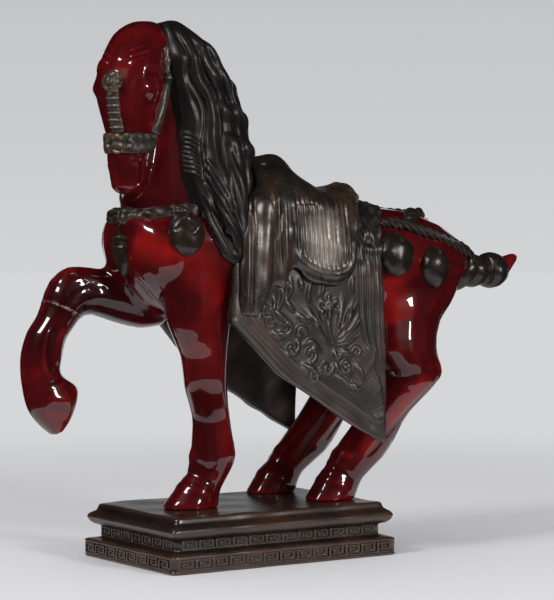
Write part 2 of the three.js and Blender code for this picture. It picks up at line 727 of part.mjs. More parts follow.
// Along a roll: [back, up, lift, half width, rise]
const foldRoute = [
  [45, 6, 3, foldHalfWidth - 4, foldRise - 3],
  [36, -5, 3, foldHalfWidth - 1, foldRise - 1],
  [26, -24, 3, foldHalfWidth, foldRise],
  [20, -46, 3, foldHalfWidth + 0.5, foldRise],
  [18, -67, 3, foldHalfWidth + 0.5, foldRise],
  [16, -89, 3, foldHalfWidth - 0.5, foldRise - 1],
  [14, -103, 3, foldHalfWidth - 3, foldRise - 4],
].map(([back, up, ...rest]) => [clothFrontX + back, withersHeight + up, ...rest]);
for (const [name, side] of eachSide) {
  piece(`front_fold_${name}`, darkSlip, [...body, 'mane', ...cloths, ...partner('front_fold', side)],
    (grow) => band(rollPath(foldRoute, side, 3), grow, { square: 0.95 }));
}

// Saddle: a pommel arch, a dished seat and a cantle arch
const saddleBase = ['torso', ...cloths, 'front_fold_left', 'front_fold_right'];
const archRoute = [
  [-27, -78, 3, pommelHalfWidth - 5, 2],
  [-29, -70, 4, pommelHalfWidth - 1, 5],
  [-30, -56, 5, pommelHalfWidth, 6],
  [-28, -38, 5, pommelHalfWidth, 7],
  [-22, -19, 6, pommelHalfWidth, 7],
  [-14, -4, 7, pommelHalfWidth, 8],
].map(([back, up, ...rest]) => [pommelX + back, spineHeight(pommelX - 2) + up, ...rest]);

/** An arch from the left, over the spine and down the right. */
function arch(route, x, crownRise, halfWidth, grow) {
  const crownHeight = deck + spineHeight(x) + crownRise - 8;
  const crown = [[-15, 8], [0, 0], [15, 8]].map(([y, less]) => ({
    p: vector(x - less * 0.6, y, crownHeight - less),
    n: vector(0, y / 30, 1).normalize(),
    w: halfWidth,
    up: 8,
    down: 22,
  }));
  const left = rollPath(route, -1, 4);
  const right = rollPath(route, 1, 4).reverse();
  return band([...left, ...crown, ...right], grow, { square: 0.9 });
}

piece('pommel', darkSlip, [...saddleBase, 'mane', 'left_foreleg'],
  (grow) => arch(archRoute, pommelX - 1, pommelRise, pommelHalfWidth + 2, grow));

// The seat lies over the back between its arches: [x, rise over the back, how far round it reaches]
const seatCrown = [
  [pommelX - 5, pommelRise - 16, 52], [pommelX + 3, pommelRise - 11, 52],
  [pommelX + 13, seatRise + 3, 50], [pommelX + 24, seatRise + 0.5, 48], [pommelX + 36, seatRise, 46],
  [pommelX + 46, seatRise + 1, 45], [cantleX - 7, cantleRise - 5, 45], [cantleX + 1, cantleRise - 6, 45],
];
function seatSolid(grow) {
  const edgeLift = clothThickness + skirtThickness + seatEdgeRise;
  const last = seatCrown.length - 1;
  return loft(seatCrown.map(([x, crownRise, span], k) => {
    const end = k === 0 ? -grow : (k === last ? grow : 0);
    const stops = Array.from({ length: 9 }, (_, j) => j / 4 - 1);
    const at = (share, lift) => {
      const swept = x - ((seatSweep * k) / last) * share * share;
      return drape(swept, share * (span + 1.5 * grow), 0, lift);
    };
    const outside = stops.map((share) => {
      const near = Math.cos(share * (Math.PI / 2)) ** 1.5;
      return at(share, edgeLift + (crownRise - edgeLift) * near + grow).p;
    });
    const inside = stops.map((share) => at(share, clothThickness - 1.5 - grow).p).reverse();
    return [...outside, ...inside].map((p) => p.add(vector(end, 0, 0)));
  }));
}
piece('saddle_seat', darkSlip, [...saddleBase, 'pommel'], seatSolid);

const cantleRoute = [
  [-28, -12.5, 8, 4, 3],
  [-24, -5.5, 8, 6, 5],
  [-17, 3.5, 9, 7, 7],
].map(([back, up, ...rest]) => [cantleX + back, spineHeight(cantleX) + up, ...rest]);
piece('cantle', darkSlip, [...saddleBase, 'saddle_seat'],
  (grow) => arch(cantleRoute, cantleX, cantleRise, pommelHalfWidth, grow));

// The skirt's edge, in shares of its length and of its height from hem to seat
const skirtOutline = curve([
  [0.19, 1], [0.06, 0.83], [0, 0.64], [0, 0.41], [0.06, 0.22], [0.16, 0.08], [0.33, 0.016],
  [0.51, 0], [0.62, 0.05], [0.72, 0.19], [0.78, 0.51], [0.87, 0.73], [1, 0.92],
].map(([along, up]) => [
  pommelX - 21 + (cantleX - pommelX + 11) * along,
  skirtHemHeight + (backHeight + 6 - skirtHemHeight) * up,
]), 22);
function skirtSolid(side, grow) {
  const shell = drapedShell({
    from: pommelX - 33,
    to: cantleX + 3,
    count: skirtPleats * 2,
    lean: skirtLean,
    round: [34, 53, 72, 90],
    bottom: skirtHemHeight - 6,
    inner: clothThickness - 1,
    outer: (f) => clothThickness + skirtThickness
      + skirtPleatDepth * Math.cos(f * skirtPleats * 2 * Math.PI),
    side,
    grow,
  });
  return shell.intersect(sidePrism(skirtOutline, side, grow));
}
for (const [name, side] of eachSide) {
  piece(`saddle_skirt_${name}`, darkSlip, [...saddleBase, 'pommel', 'saddle_seat', 'cantle'],
    (grow) => skirtSolid(side, grow));
}

// Breast strap: a band laid round the front of the neck's base, from cloth to cloth
const breastAxisX = chestX + 56;
function breastTouch(bearing, height) {
  const out = vector(-Math.cos(radians(bearing)), -Math.sin(radians(bearing)), 0);
  const from = vector(breastAxisX, 0, deck + height).addScaledVector(out, 200);
  return touch(['torso', 'neck'], from, out.negate());
}
function breastHeightAt(bearing) {
  return breastStrapHeight + 8 * (1 - Math.cos(radians(bearing)));
}
const strapPath = (bearings) => bearings.map((bearing) => ({
  ...breastTouch(bearing, breastHeightAt(bearing)),
  w: strapWidth / 2,
  up: strapRise,
  down: 6,
}));
const strapBearings = Array.from({ length: 19 }, (_, k) => -112 + k * 11);
const dressed = [...body, 'mane', ...cloths, 'front_fold_left', 'front_fold_right'];
piece('breast_strap', darkSlip, dressed, (grow) => band(strapPath(strapBearings), grow));

/** A domed drop hung flat on a surface: half width and half height across it, rise from it. */
function drop({ p, n }, [halfWidth, halfHeight], rise, pointed, grow) {
  const across = UP.clone().cross(n).normalize();
  const up = n.clone().cross(across).normalize();
  const layers = [[-6, 1], [0.15, 1], [0.55, 0.84], [0.85, 0.53], [1, 0.18]];
  const sides = halfWidth > knobHalfWidth ? bandSides + 4 : bandSides;
  return loft(layers.map(([height, share]) => {
    const centre = p.clone().addScaledVector(n, height < 0 ? height : height * rise + grow);
    return Array.from({ length: sides }, (_, k) => {
      const angle = (k / sides) * 2 * Math.PI;
      const low = Math.max(0, -Math.cos(angle));
      const narrow = 1 - pointed * low * low;
      return centre.clone()
        .addScaledVector(across, (halfWidth * share + grow) * Math.sin(angle) * narrow)
        .addScaledVector(up, (halfHeight * share + grow) * Math.cos(angle) * (1 + 0.4 * pointed * low));
    });
  }));
}

const withStrap = [...dressed, 'breast_strap'];
const bell = [bellHalfWidth, bellHalfHeight];
const breastPieces = [
  ['breast_bell_left', 58, breastStrapHeight - 12, bell, pendantRise, 0.1],
  ['breast_leaf', 5, breastStrapHeight - 25, [leafHalfWidth, leafHalfHeight], pendantRise - 4, 0.45],
  ['breast_bell_right', -58, breastStrapHeight - 12, bell, pendantRise, 0.1],
];
for (const [name, bearing, height, size, rise, pointed] of breastPieces) {
  piece(name, darkSlip, withStrap,
    (grow) => drop(breastTouch(bearing, height), size, rise, pointed, grow));
}
const hung = [...withStrap, ...breastPieces.map(([name]) => name)];
for (const [name, bearing] of [['left', 52], ['middle', 5], ['right', -52]]) {
  piece(`breast_boss_${name}`, gildedSlip, hung, (grow) => drop(
    breastTouch(bearing, breastHeightAt(bearing) - 2),
    [bossHalfWidth, bossHalfWidth],
    strapRise * 2,
    0,
    grow,
  ));
}

// Crupper: straps over the croup to the tail, with hung bells
const croup = [
  'torso', 'left_hindleg', 'right_hindleg', 'tail', 'tail_wrap', ...cloths, 'saddle_seat', 'cantle',
];
/** Where a strap lies on the top of the croup. */
const croupTouch = (x, y) => touch(['torso'], vector(x, y, 400), vector(0, 0, -1));
const knobX = rumpX - 36;
piece('crupper_spine_strap', darkSlip, croup, (grow) => band([2, 9, 16, 22, 27, 31].map((back) => ({
  ...croupTouch(knobX + back, 0),
  w: strapWidth / 2 - 1,
  up: strapRise,
  down: 4,
})), grow));
// Along the croup: [share of the way from the cloth to the rump, below the croup's top]
const sideRoute = [
  [0.01, 13], [0.1, 11], [0.2, 11], [0.29, 13], [0.41, 17], [0.52, 21], [0.63, 25], [0.74, 29],
  [0.84, 33], [0.91, 37],
];
const croupX = (share) => clothRearX + (rumpX - clothRearX) * share;
const flank = (x, height, side, turn = 0) => {
  const out = vector(Math.sin(radians(turn)), side * Math.cos(radians(turn)), 0);
  const from = vector(x, 0, deck + height).addScaledVector(out, 200);
  return touch(['torso', 'left_hindleg', 'right_hindleg'], from, out.negate());
};
for (const [name, side] of eachSide) {
  piece(`crupper_side_strap_${name}`, darkSlip,
    [...croup, 'crupper_spine_strap', ...partner('crupper_side_strap', side)],
    (grow) => band(sideRoute.map(([share, below]) => ({
      ...flank(croupX(share), croupHeight - below, side),
      w: strapWidth / 2 - 1,
      up: strapRise,
      down: 4,
    })), grow));
}
const sideStraps = ['crupper_side_strap_left', 'crupper_side_strap_right'];
const crossRoute = [
  [-37, 33], [-29, 27], [-20, 19], [-10, 9], [0, 3], [10, 9], [20, 19], [29, 27], [37, 33],
];
piece('crupper_cross_strap', darkSlip, [...croup, 'crupper_spine_strap', ...sideStraps],
  (grow) => band(crossRoute.map(([y, ahead]) => ({
    ...croupTouch(knobX - ahead, y),
    w: strapWidth / 2 - 0.5,
    up: strapRise + 0.5,
    down: 4,
  })), grow));
piece('crupper_knob', darkSlip, [...croup, 'crupper_spine_strap', 'crupper_cross_strap'],
  (grow) => drop(croupTouch(knobX, 0), [knobHalfWidth, knobHalfWidth - 1], pendantRise - 1, 0, grow));
const rumpBells = [
  ['front', 0.118, 32, 0, [bellHalfWidth + 2.5, bellHalfHeight + 0.5], pendantRise + 1],
  ['middle', 0.4, 42, 5, [bellHalfWidth, bellHalfHeight - 1], pendantRise],
  ['rear', 0.604, 50, 36, [bellHalfWidth - 4.5, bellHalfHeight - 1], pendantRise - 3],
];
for (const [side, way] of eachSide) {
  for (const [place, share, below, turn, size, rise] of rumpBells) {
    piece(`rump_bell_${place}_${side}`, darkSlip, [...croup, ...sideStraps],
      (grow) => drop(flank(croupX(share), croupHeight - below, way, turn), size, rise, 0.2, grow));
  }
}

// Bridle: ribbed face strap, noseband, cheek straps with rosettes
const headTouch = (out, back, height, y = 0) => {
  const from = vector(back, y, deck + chinHeight + height).addScaledVector(out, 100);
  const way = out.clone().negate().applyAxisAngle(UP, radians(headTurn));
  return touch(['head'], turnHead(from), way);
};
piece('noseband', gildedSlip, ['head', 'neck', 'torso'], (grow) => {
  const heights = [-bridleWidth, -bridleWidth * 0.6, 0, bridleWidth * 0.6, bridleWidth];
  return loft(heights.map((offset, k) => {
    const edge = k === 0 || k === heights.length - 1;
    const height = nosebandHeight + offset;
    const t = headRowAt(height);
    const [back, , deep, wide] = between(headRows, t);
    const centre = vector(back, 0, deck + chinHeight + height + Math.sign(offset) * (edge ? grow : 0));
    const rise = (edge ? bridleRise - 1.2 : bridleRise) + grow;
    return ovalRing(centre, vector(1, 0, 0), SIDE, deep + rise, wide + rise, ringSides, 0.92).map(turnHead);
  }));
});

const bridleBase = ['head', 'neck', 'mane', 'noseband'];
const strapFoot = nosebandHeight + bridleWidth + 1;
piece('face_strap', gildedSlip, bridleBase, (grow) => band([0, 7, 14, 21, 28, 35, 42, 48].map((up) => ({
  ...headTouch(vector(-1, 0, 0), 0, strapFoot + up),
  w: bridleWidth / 2 + 1.5,
  up: bridleRise - 0.4,
  down: 3,
})), grow));
piece('forehead_plaque', gildedSlip, [...bridleBase, 'face_strap'], (grow) => drop(
  headTouch(vector(-1, 0, 0), 0, strapFoot + 33),
  [bridleWidth - 1, bridleWidth + 2],
  bridleRise * 2,
  0.1,
  grow,
));
const cheekRoute = [[4, 0], [6, 6], [8, 13], [11, 21], [13, 30], [13, 39], [13, 49], [14, 57]];
const rosetteUp = 37;
for (const [name, side] of eachSide) {
  piece(`cheek_strap_${name}`, darkSlip, [...bridleBase, 'face_strap'],
    (grow) => band(cheekRoute.map(([back, up]) => ({
      ...headTouch(vector(0, side, 0), back, strapFoot + up),
      w: bridleWidth / 2,
      up: bridleRise - 0.4,
      down: 3,
    })), grow));
  piece(`cheek_rosette_${name}`, darkSlip, [...bridleBase, `cheek_strap_${name}`], (grow) => drop(
    headTouch(vector(0, side, 0), 13, strapFoot + rosetteUp),
    [bossHalfWidth, bossHalfWidth],
    bridleRise * 2,
    0,
    grow,
  ));
}

// The figure stands on its foot, over the middle of its outline
const figure = new THREE.Group();
figure.add(...Object.values(meshes));
const outline = new THREE.Box3().setFromObject(figure);
const middle = outline.getCenter(vector(0, 0, 0));
for (const mesh of figure.children) mesh.geometry.translate(-middle.x, -middle.y, -outline.min.z);
export default figure;
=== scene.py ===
"""A slip-cast ceramic horse on a stepped plinth, with its mane, saddlery and bells in relief.

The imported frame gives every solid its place. Each sub-assembly copies its solids, fuses them into
one lump of clay, models the relief on it with strokes of a tool, and dresses it in a glaze or slip.
Points are in millimetres from the middle of the plinth's foot; meshes are in metres.
"""

import logging
import math
from collections.abc import Callable, Sequence
from dataclasses import dataclass
from enum import Enum
from itertools import cycle

import bmesh
import bpy
import numpy as np
from mathutils import Matrix, Vector
from mathutils.bvhtree import BVHTree


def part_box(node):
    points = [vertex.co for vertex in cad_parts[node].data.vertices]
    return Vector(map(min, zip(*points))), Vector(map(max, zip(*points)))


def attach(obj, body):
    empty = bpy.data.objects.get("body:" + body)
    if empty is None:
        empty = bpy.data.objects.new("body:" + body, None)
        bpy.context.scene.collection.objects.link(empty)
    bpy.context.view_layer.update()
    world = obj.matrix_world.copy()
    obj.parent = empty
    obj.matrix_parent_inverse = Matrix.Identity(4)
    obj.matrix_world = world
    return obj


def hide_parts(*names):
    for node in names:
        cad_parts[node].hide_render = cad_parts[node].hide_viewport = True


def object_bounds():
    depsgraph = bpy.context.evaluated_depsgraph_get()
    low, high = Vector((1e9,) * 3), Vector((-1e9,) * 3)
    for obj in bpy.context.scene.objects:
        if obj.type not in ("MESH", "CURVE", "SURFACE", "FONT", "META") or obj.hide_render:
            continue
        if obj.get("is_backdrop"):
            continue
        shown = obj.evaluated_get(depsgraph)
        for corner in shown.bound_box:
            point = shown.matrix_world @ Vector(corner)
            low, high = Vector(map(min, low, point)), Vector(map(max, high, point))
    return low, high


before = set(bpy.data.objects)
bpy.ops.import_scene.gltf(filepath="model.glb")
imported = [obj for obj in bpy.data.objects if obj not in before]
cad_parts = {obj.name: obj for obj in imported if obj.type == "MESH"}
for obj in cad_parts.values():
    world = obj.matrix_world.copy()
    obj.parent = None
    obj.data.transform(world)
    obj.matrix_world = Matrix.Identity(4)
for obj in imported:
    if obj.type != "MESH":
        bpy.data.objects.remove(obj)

LOG = logging.getLogger("ceramic_horse")
MM = 0.001
BODY = "root"
Point = tuple[float, float]
Spot = tuple[float, float, float]
Path = Sequence[Point]

# Corners of a solid that lie nearer than this many millimetres are one corner.
WELD = 0.01
# Turn from the near flank to the photograph's viewpoint, in degrees.
VIEW_TURN = 33.9
# The head is turned by this many degrees about an upright axis through this point.
HEAD_TURN = 32.0
HEAD_AXIS: Spot = (-96.0, -8.0, 0.0)
# How strongly a bend in the clay reads as a ridge.
RIDGE_GAIN = 1.6
# A piece with more triangles than this is thinned.
MOST_TRIANGLES = 190_000


def plinth_centre() -> np.ndarray:
    """Returns the middle of the plinth's foot in the frame, in millimetres."""
    low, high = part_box("plinth")
    return np.array([(low.x + high.x) / 2, (low.y + high.y) / 2, low.z]) / MM


CENTRE = plinth_centre()
LIMITS = tuple(np.array(edge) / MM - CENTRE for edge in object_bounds())


def linear(code: str, alpha: float = 1.0) -> tuple[float, float, float, float]:
    """Turns an sRGB hex colour to linear light.

    Args:
        code: six hex digits with a leading hash.
        alpha: the fourth channel.

    Returns:
        Red, green, blue and alpha as Blender's sockets take them.
    """
    shares = [int(code[i:i + 2], 16) / 255 for i in (1, 3, 5)]
    lit = [s / 12.92 if s <= 0.04045 else ((s + 0.055) / 1.055) ** 2.4 for s in shares]
    return lit[0], lit[1], lit[2], alpha


def add_node(tree: bpy.types.NodeTree, kind: str, settings: dict | None = None,
             values: dict | None = None, links: dict | None = None) -> bpy.types.Node:
    """Adds one shader node.

    Args:
        tree: the material's or world's node tree.
        kind: the node's type name, after the words ShaderNode.
        settings: attributes of the node.
        values: socket name or number to its plain value.
        links: socket name or number to the output socket that feeds it.

    Returns:
        The new node.
    """
    node = tree.nodes.new("ShaderNode" + kind)
    for name, value in (settings or {}).items():
        setattr(node, name, value)
    for name, value in (values or {}).items():
        node.inputs[name].default_value = value
    for name, socket in (links or {}).items():
        tree.links.new(socket, node.inputs[name])
    return node


def colour_ramp(tree: bpy.types.NodeTree, factor: bpy.types.NodeSocket,
                stops: Sequence[tuple[float, str]]) -> bpy.types.NodeSocket:
    """Adds a colour ramp.

    Args:
        tree: the node tree.
        factor: what drives the ramp.
        stops: position and hex colour of each stop, in order.

    Returns:
        The ramp's colour output.
    """
    ramp = add_node(tree, "ValToRGB", links={"Fac": factor})
    while len(ramp.color_ramp.elements) < len(stops):
        ramp.color_ramp.elements.new(0.5)
    for element, (place, code) in zip(ramp.color_ramp.elements, stops):
        element.position = place
        element.color = linear(code)
    return ramp.outputs["Color"]


def per_metre(size: float) -> float:
    """Turns a pattern's real size in millimetres to a texture scale."""
    return 1 / (size * MM)


class Tool(Enum):
    """The section that a modelling tool leaves across its stroke."""

    BALL = "round"
    KNIFE = "sharp"
    FLAT = "flat"


@dataclass(frozen=True)
class Stroke:
    """One pull of a tool along a path drawn on a board.

    Attributes:
        path: points in millimetres on the board.
        width: distance from the path to the edge of the mark.
        height: how far the clay is raised, or carved where it is negative.
        tool: the section of the mark.
        fade: share of the path over which each end runs out.
    """

    path: Path
    width: float
    height: float
    tool: Tool = Tool.BALL
    fade: float = 0.2


@dataclass(frozen=True)
class Board:
    """A drawing board held against one face of the figure.

    Attributes:
        across: direction of the first coordinate.
        out: the side that the board faces; only clay that faces it is marked.
        origin: the point where both coordinates are nil.
    """

    across: Spot
    out: Spot
    origin: Spot = (0.0, 0.0, 0.0)

    def place(self, points: np.ndarray) -> np.ndarray:
        """Returns the points' two coordinates on the board."""
        moved = points - np.array(self.origin)
        return np.stack([moved @ np.array(self.across), moved[:, 2]], axis=1)

    def facing(self, normals: np.ndarray) -> np.ndarray:
        """Returns how squarely each normal faces the board, from 0 to 1."""
        return ease(normals @ np.array(self.out), 0.05, 0.45)


class Flank(Enum):
    """The two sides of the horse, with the sign of Y on each."""

    NEAR = -1
    FAR = 1

    @property
    def side(self) -> str:
        """Returns the word for this flank in the names of the solids."""
        return "left" if self is Flank.NEAR else "right"

    def board(self, turn: float = 0.0) -> Board:
        """Returns a board held against this flank, its front swung outward by a turn in degrees."""
        c, s = math.cos(math.radians(turn)), math.sin(math.radians(turn))
        return Board(across=(c, s * self.value, 0.0), out=(-s, c * self.value, 0.0))


def ease(value: np.ndarray, low: float, high: float) -> np.ndarray:
    """Runs smoothly from 0 at low to 1 at high."""
    share = np.clip((value - low) / (high - low), 0, 1)
    return share * share * (3 - 2 * share)


def flowing(path: Path, step: float = 1.5) -> np.ndarray:
    """Runs a smooth curve through a path's points.

    Args:
        path: the points, two or more.
        step: spacing of the points returned.

    Returns:
        Points along the curve.
    """
    marks = np.array(path, float)
    ends = np.vstack([2 * marks[0] - marks[1], marks, 2 * marks[-1] - marks[-2]])
    run = []
    for a, b, c, d in zip(ends, ends[1:], ends[2:], ends[3:]):
        count = max(2, int(np.linalg.norm(c - b) / step))
        for t in np.arange(count) / count:
            run.append(0.5 * (2 * b + (c - a) * t + (2 * a - 5 * b + 4 * c - d) * t ** 2
                              + (3 * b - a - 3 * c + d) * t ** 3))
    run.append(marks[-1])
    return np.array(run)


def mirrored(strokes: Sequence[Stroke]) -> list[Stroke]:
    """Returns strokes with their first coordinate turned round."""
    return [Stroke([(-u, v) for u, v in s.path], s.width, s.height, s.tool, s.fade) for s in strokes]


def fan(guides: Sequence[Path], lanes: int, width: float, height: float,
        tool: Tool = Tool.KNIFE) -> list[Stroke]:
    """Fills the space between neighbouring guide paths with strokes that follow both.

    Args:
        guides: paths that run the same way, side by side.
        lanes: number of strokes in each space.
        width: half width of a stroke.
        height: height of a stroke.
        tool: section of a stroke.

    Returns:
        The strokes.
    """
    samples = 18
    even = []
    for guide in guides:
        run = flowing(guide)
        even.append(run[np.linspace(0, len(run) - 1, samples).round().astype(int)])
    made = []
    for left, right in zip(even, even[1:]):
        for k in range(lanes):
            share = (k + 0.5) / lanes
            made.append(Stroke([tuple(p) for p in left * (1 - share) + right * share],
                               width, height, tool, 0.12))
    return made


def modified(mesh: bpy.types.Mesh, kind: str, settings: dict) -> bpy.types.Mesh:
    """Applies a modifier to a mesh.

    Args:
        mesh: the mesh, which stays as it is.
        kind: the modifier's type.
        settings: attributes of the modifier.

    Returns:
        The new mesh, with the attributes of the old one.
    """
    lump = bpy.data.objects.new(mesh.name, mesh)
    bpy.context.scene.collection.objects.link(lump)
    modifier = lump.modifiers.new("work", kind)
    for name, value in settings.items():
        setattr(modifier, name, value)
    graph = bpy.context.evaluated_depsgraph_get()
    made = bpy.data.meshes.new_from_object(
        lump.evaluated_get(graph), preserve_all_data_layers=True, depsgraph=graph)
    bpy.data.objects.remove(lump)
    return made


class Clay:
    """A lump of clay made from copies of the frame's solids and modelled by strokes.

    Attributes:
        name: name of the finished piece.
        nodes: the solids that the piece stands for.
        mesh: the mesh being worked.
        points: its vertices in millimetres from the plinth's centre.
        normals: its vertex normals.
        edges: the two ends of each of its edges.
        valence: number of edges at each vertex.
        grain: usual spacing of the vertices.
    """

    def __init__(self, name: str, nodes: Sequence[str], grain: float, swell: float = 0.0,
                 plugs: Sequence[Spot] = (), plug: float = 7.0) -> None:
        """Fuses the solids into one closed skin.

        Args:
            name: name of the finished piece.
            nodes: names of the frame's solids.
            grain: spacing of the skin's vertices.
            swell: distance that each solid grows first, so that touching ones fuse.
            plugs: middles of lumps of clay that close gaps.
            plug: radius of those lumps.
        """
        self.name = name
        self.nodes = tuple(nodes)
        self.grain = grain
        work = bmesh.new()
        for node in nodes:
            work.from_mesh(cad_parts[node].data)
        bmesh.ops.remove_doubles(work, verts=work.verts, dist=WELD * MM)
        work.normal_update()
        for vert in work.verts:
            vert.co += vert.normal * swell * MM
        for middle in plugs:
            bmesh.ops.create_icosphere(
                work, subdivisions=2, radius=plug * MM,
                matrix=Matrix.Translation((np.array(middle) + CENTRE) * MM))
        source = bpy.data.meshes.new(name)
        work.to_mesh(source)
        work.free()
        self.mesh = modified(source, "REMESH", {"mode": "VOXEL", "voxel_size": grain * MM})
        self.read()

    def read(self) -> None:
        """Reads the vertices, edges and normals of the mesh."""
        count = len(self.mesh.vertices)
        flat = np.empty(count * 3, np.float32)
        self.mesh.vertices.foreach_get("co", flat)
        self.points = flat.reshape(-1, 3).astype(float) / MM - CENTRE
        pairs = np.empty(len(self.mesh.edges) * 2, np.int32)
        self.mesh.edges.foreach_get("vertices", pairs)
        self.edges = pairs.reshape(-1, 2)
        self.valence = np.bincount(self.edges.ravel(), minlength=count)
        self.read_normals()

    def read_normals(self) -> None:
        """Reads the vertex normals of the mesh."""
        flat = np.empty(len(self.mesh.vertices) * 3, np.float32)
        self.mesh.vertex_normals.foreach_get("vector", flat)
        self.normals = flat.reshape(-1, 3).astype(float)

    def write(self) -> None:
        """Writes the points back to the mesh."""
        flat = ((self.points + CENTRE) * MM).astype(np.float32)
        self.mesh.vertices.foreach_set("co", flat.ravel())
        self.mesh.update()
        self.read_normals()

    def around(self, values: np.ndarray) -> np.ndarray:
        """Returns the mean of a value over each vertex's neighbours."""
        a, b = self.edges.T
        columns = values.reshape(len(values), -1)
        total = np.stack([np.bincount(a, column[b], len(values))
                          + np.bincount(b, column[a], len(values)) for column in columns.T], axis=1)
        return (total / np.maximum(self.valence, 1)[:, None]).reshape(values.shape)

    def settle(self, rounds: int, where: np.ndarray | None = None, shrink: bool = False) -> "Clay":
        """Smooths the clay as a damp sponge does.

        Args:
            rounds: number of passes.
            where: strength at each vertex, 0 to 1.
            shrink: whether hollows may fill and edges round off; otherwise the form is kept.

        Returns:
            The clay itself.
        """
        weight = np.ones(len(self.points)) if where is None else where
        strengths = (0.6,) if shrink else (0.5, -0.53)
        for _ in range(rounds):
            for strength in strengths:
                pull = self.around(self.points) - self.points
                self.points += pull * (weight * strength)[:, None]
        self.write()
        return self

    def lift(self, height: np.ndarray | float) -> "Clay":
        """Moves each vertex out along its normal by a height in millimetres."""
        self.points += self.normals * np.reshape(height, (-1, 1))
        self.write()
        return self

    def push(self, board: Board, height: np.ndarray) -> "Clay":
        """Moves the clay that faces a board straight out towards it.

        Args:
            board: the drawing board.
            height: distance at each vertex, in millimetres.

        Returns:
            The clay itself.
        """
        reach = height * board.facing(self.normals)
        self.points += np.array(board.out) * reach[:, None]
        self.write()
        return self

    def hand(self, amount: float, size: float, where: np.ndarray | float = 1.0) -> "Clay":
        """Gives the clay the slight unevenness of handwork.

        Args:
            amount: depth of the unevenness in millimetres.
            size: its usual width in millimetres.
            where: share of it at each vertex.

        Returns:
            The clay itself.
        """
        chance = np.random.default_rng(sum(map(ord, self.name)))
        waves = 10
        total = np.zeros(len(self.points))
        for _ in range(waves):
            way = chance.normal(size=3)
            way *= 2 * math.pi / (size * chance.uniform(0.7, 1.6) * np.linalg.norm(way))
            total += np.sin(self.points @ way + chance.uniform(0, 2 * math.pi))
        return self.lift(total * where * amount / math.sqrt(2 * waves))

    def mark(self, label: str, values: np.ndarray) -> "Clay":
        """Stores a value at each vertex for the finish to read."""
        layer = self.mesh.attributes.new(label, "FLOAT", "POINT")
        layer.data.foreach_set("value", values.astype(np.float32))
        return self

    def middle(self, board: Board) -> Point:
        """Returns the middle of the clay on a board."""
        flat = board.place(self.points)
        u, v = (flat.min(axis=0) + flat.max(axis=0)) / 2
        return float(u), float(v)

    def seam_weight(self, first: str, second: str, reach: float) -> np.ndarray:
        """Finds the clay beside a joint of two castings.

        Args:
            first: one solid.
            second: the solid that it is luted to.
            reach: distance over which the weight falls to nil.

        Returns:
            1 on the joint and 0 away from it, at each vertex.
        """
        close = np.ones(len(self.points), bool)
        for node in (first, second):
            low, high = (np.array(v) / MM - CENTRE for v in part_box(node))
            close &= ((self.points > low - reach) & (self.points < high + reach)).all(axis=1)
        chosen = np.where(close)[0]
        furthest = np.zeros(len(chosen))
        for node in (first, second):
            work = bmesh.new()
            work.from_mesh(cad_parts[node].data)
            tree = BVHTree.FromBMesh(work)
            spots = (self.points[chosen] + CENTRE) * MM
            away = [tree.find_nearest(Vector(spot))[3] / MM for spot in spots]
            furthest = np.maximum(furthest, away)
            work.free()
        weight = np.zeros(len(self.points))
        weight[chosen] = 1 - ease(furthest, 0.0, reach)
        return weight

    def draw(self, board: Board, strokes: Sequence[Stroke],
             region: np.ndarray | None = None) -> "Clay":
        """Models strokes on the clay that faces a board.

        Args:
            board: the drawing board.
            strokes: the tool's pulls.
            region: share at each vertex that limits the marks.

        Returns:
            The clay itself.
        """
        flat = board.place(self.points)
        facing = board.facing(self.normals)
        if region is not None:
            facing = facing * region
        height = np.zeros(len(flat))
        for stroke in strokes:
            height += stroke_height(stroke, flat)
        return self.lift(height * facing)

    def refine(self, choose: Callable[[np.ndarray], np.ndarray]) -> "Clay":
        """Splits the faces in a chosen region, for finer work there.

        Args:
            choose: takes face centres in millimetres and returns a mask.

        Returns:
            The clay itself.
        """
        work = bmesh.new()
        work.from_mesh(self.mesh)
        centres = np.array([f.calc_center_median() for f in work.faces]) / MM - CENTRE
        chosen = choose(centres)
        edges = {e for f, hit in zip(work.faces, chosen) if hit for e in f.edges}
        bmesh.ops.subdivide_edges(work, edges=list(edges), cuts=1, use_grid_fill=True)
        return self.take(work)

    def largest(self) -> "Clay":
        """Keeps the outer skin and drops small loose shells."""
        work = bmesh.new()
        work.from_mesh(self.mesh)
        unseen = set(work.verts)
        shells = []
        while unseen:
            shell = {unseen.pop()}
            front = list(shell)
            while front:
                vert = front.pop()
                found = {edge.other_vert(vert) for edge in vert.link_edges} & unseen
                unseen -= found
                shell |= found
                front.extend(found)
            shells.append(shell)
        biggest = max(shells, key=len)
        doomed = [v for shell in shells if shell is not biggest for v in shell]
        bmesh.ops.delete(work, geom=doomed, context="VERTS")
        return self.take(work)

    def take(self, work: bmesh.types.BMesh) -> "Clay":
        """Takes a worked shape as its own mesh and uses it up."""
        work.to_mesh(self.mesh)
        work.free()
        self.read()
        return self

    def finish(self, finish: "Finish") -> bpy.types.Object:
        """Fires the clay: measures its ridges, dresses it and sets it on the figure.

        Args:
            finish: the glaze or slip.

        Returns:
            The finished piece.
        """
        self.points = np.clip(self.points, *LIMITS)
        self.write()
        bend = -((self.around(self.points) - self.points) * self.normals).sum(axis=1)
        bend = bend * (RIDGE_GAIN / self.grain)
        for _ in range(2):
            bend = (bend + self.around(bend)) / 2
        self.mark("ridge", np.clip(0.5 + bend, 0, 1))
        self.thin()
        return place_piece(self.name, self.mesh, self.nodes, finish)

    def thin(self) -> None:
        """Merges the flattest triangles of a skin that has more of them than a piece may have."""
        count = sum(len(face.vertices) - 2 for face in self.mesh.polygons)
        if count > MOST_TRIANGLES:
            self.mesh = modified(self.mesh, "DECIMATE", {"ratio": MOST_TRIANGLES / count})


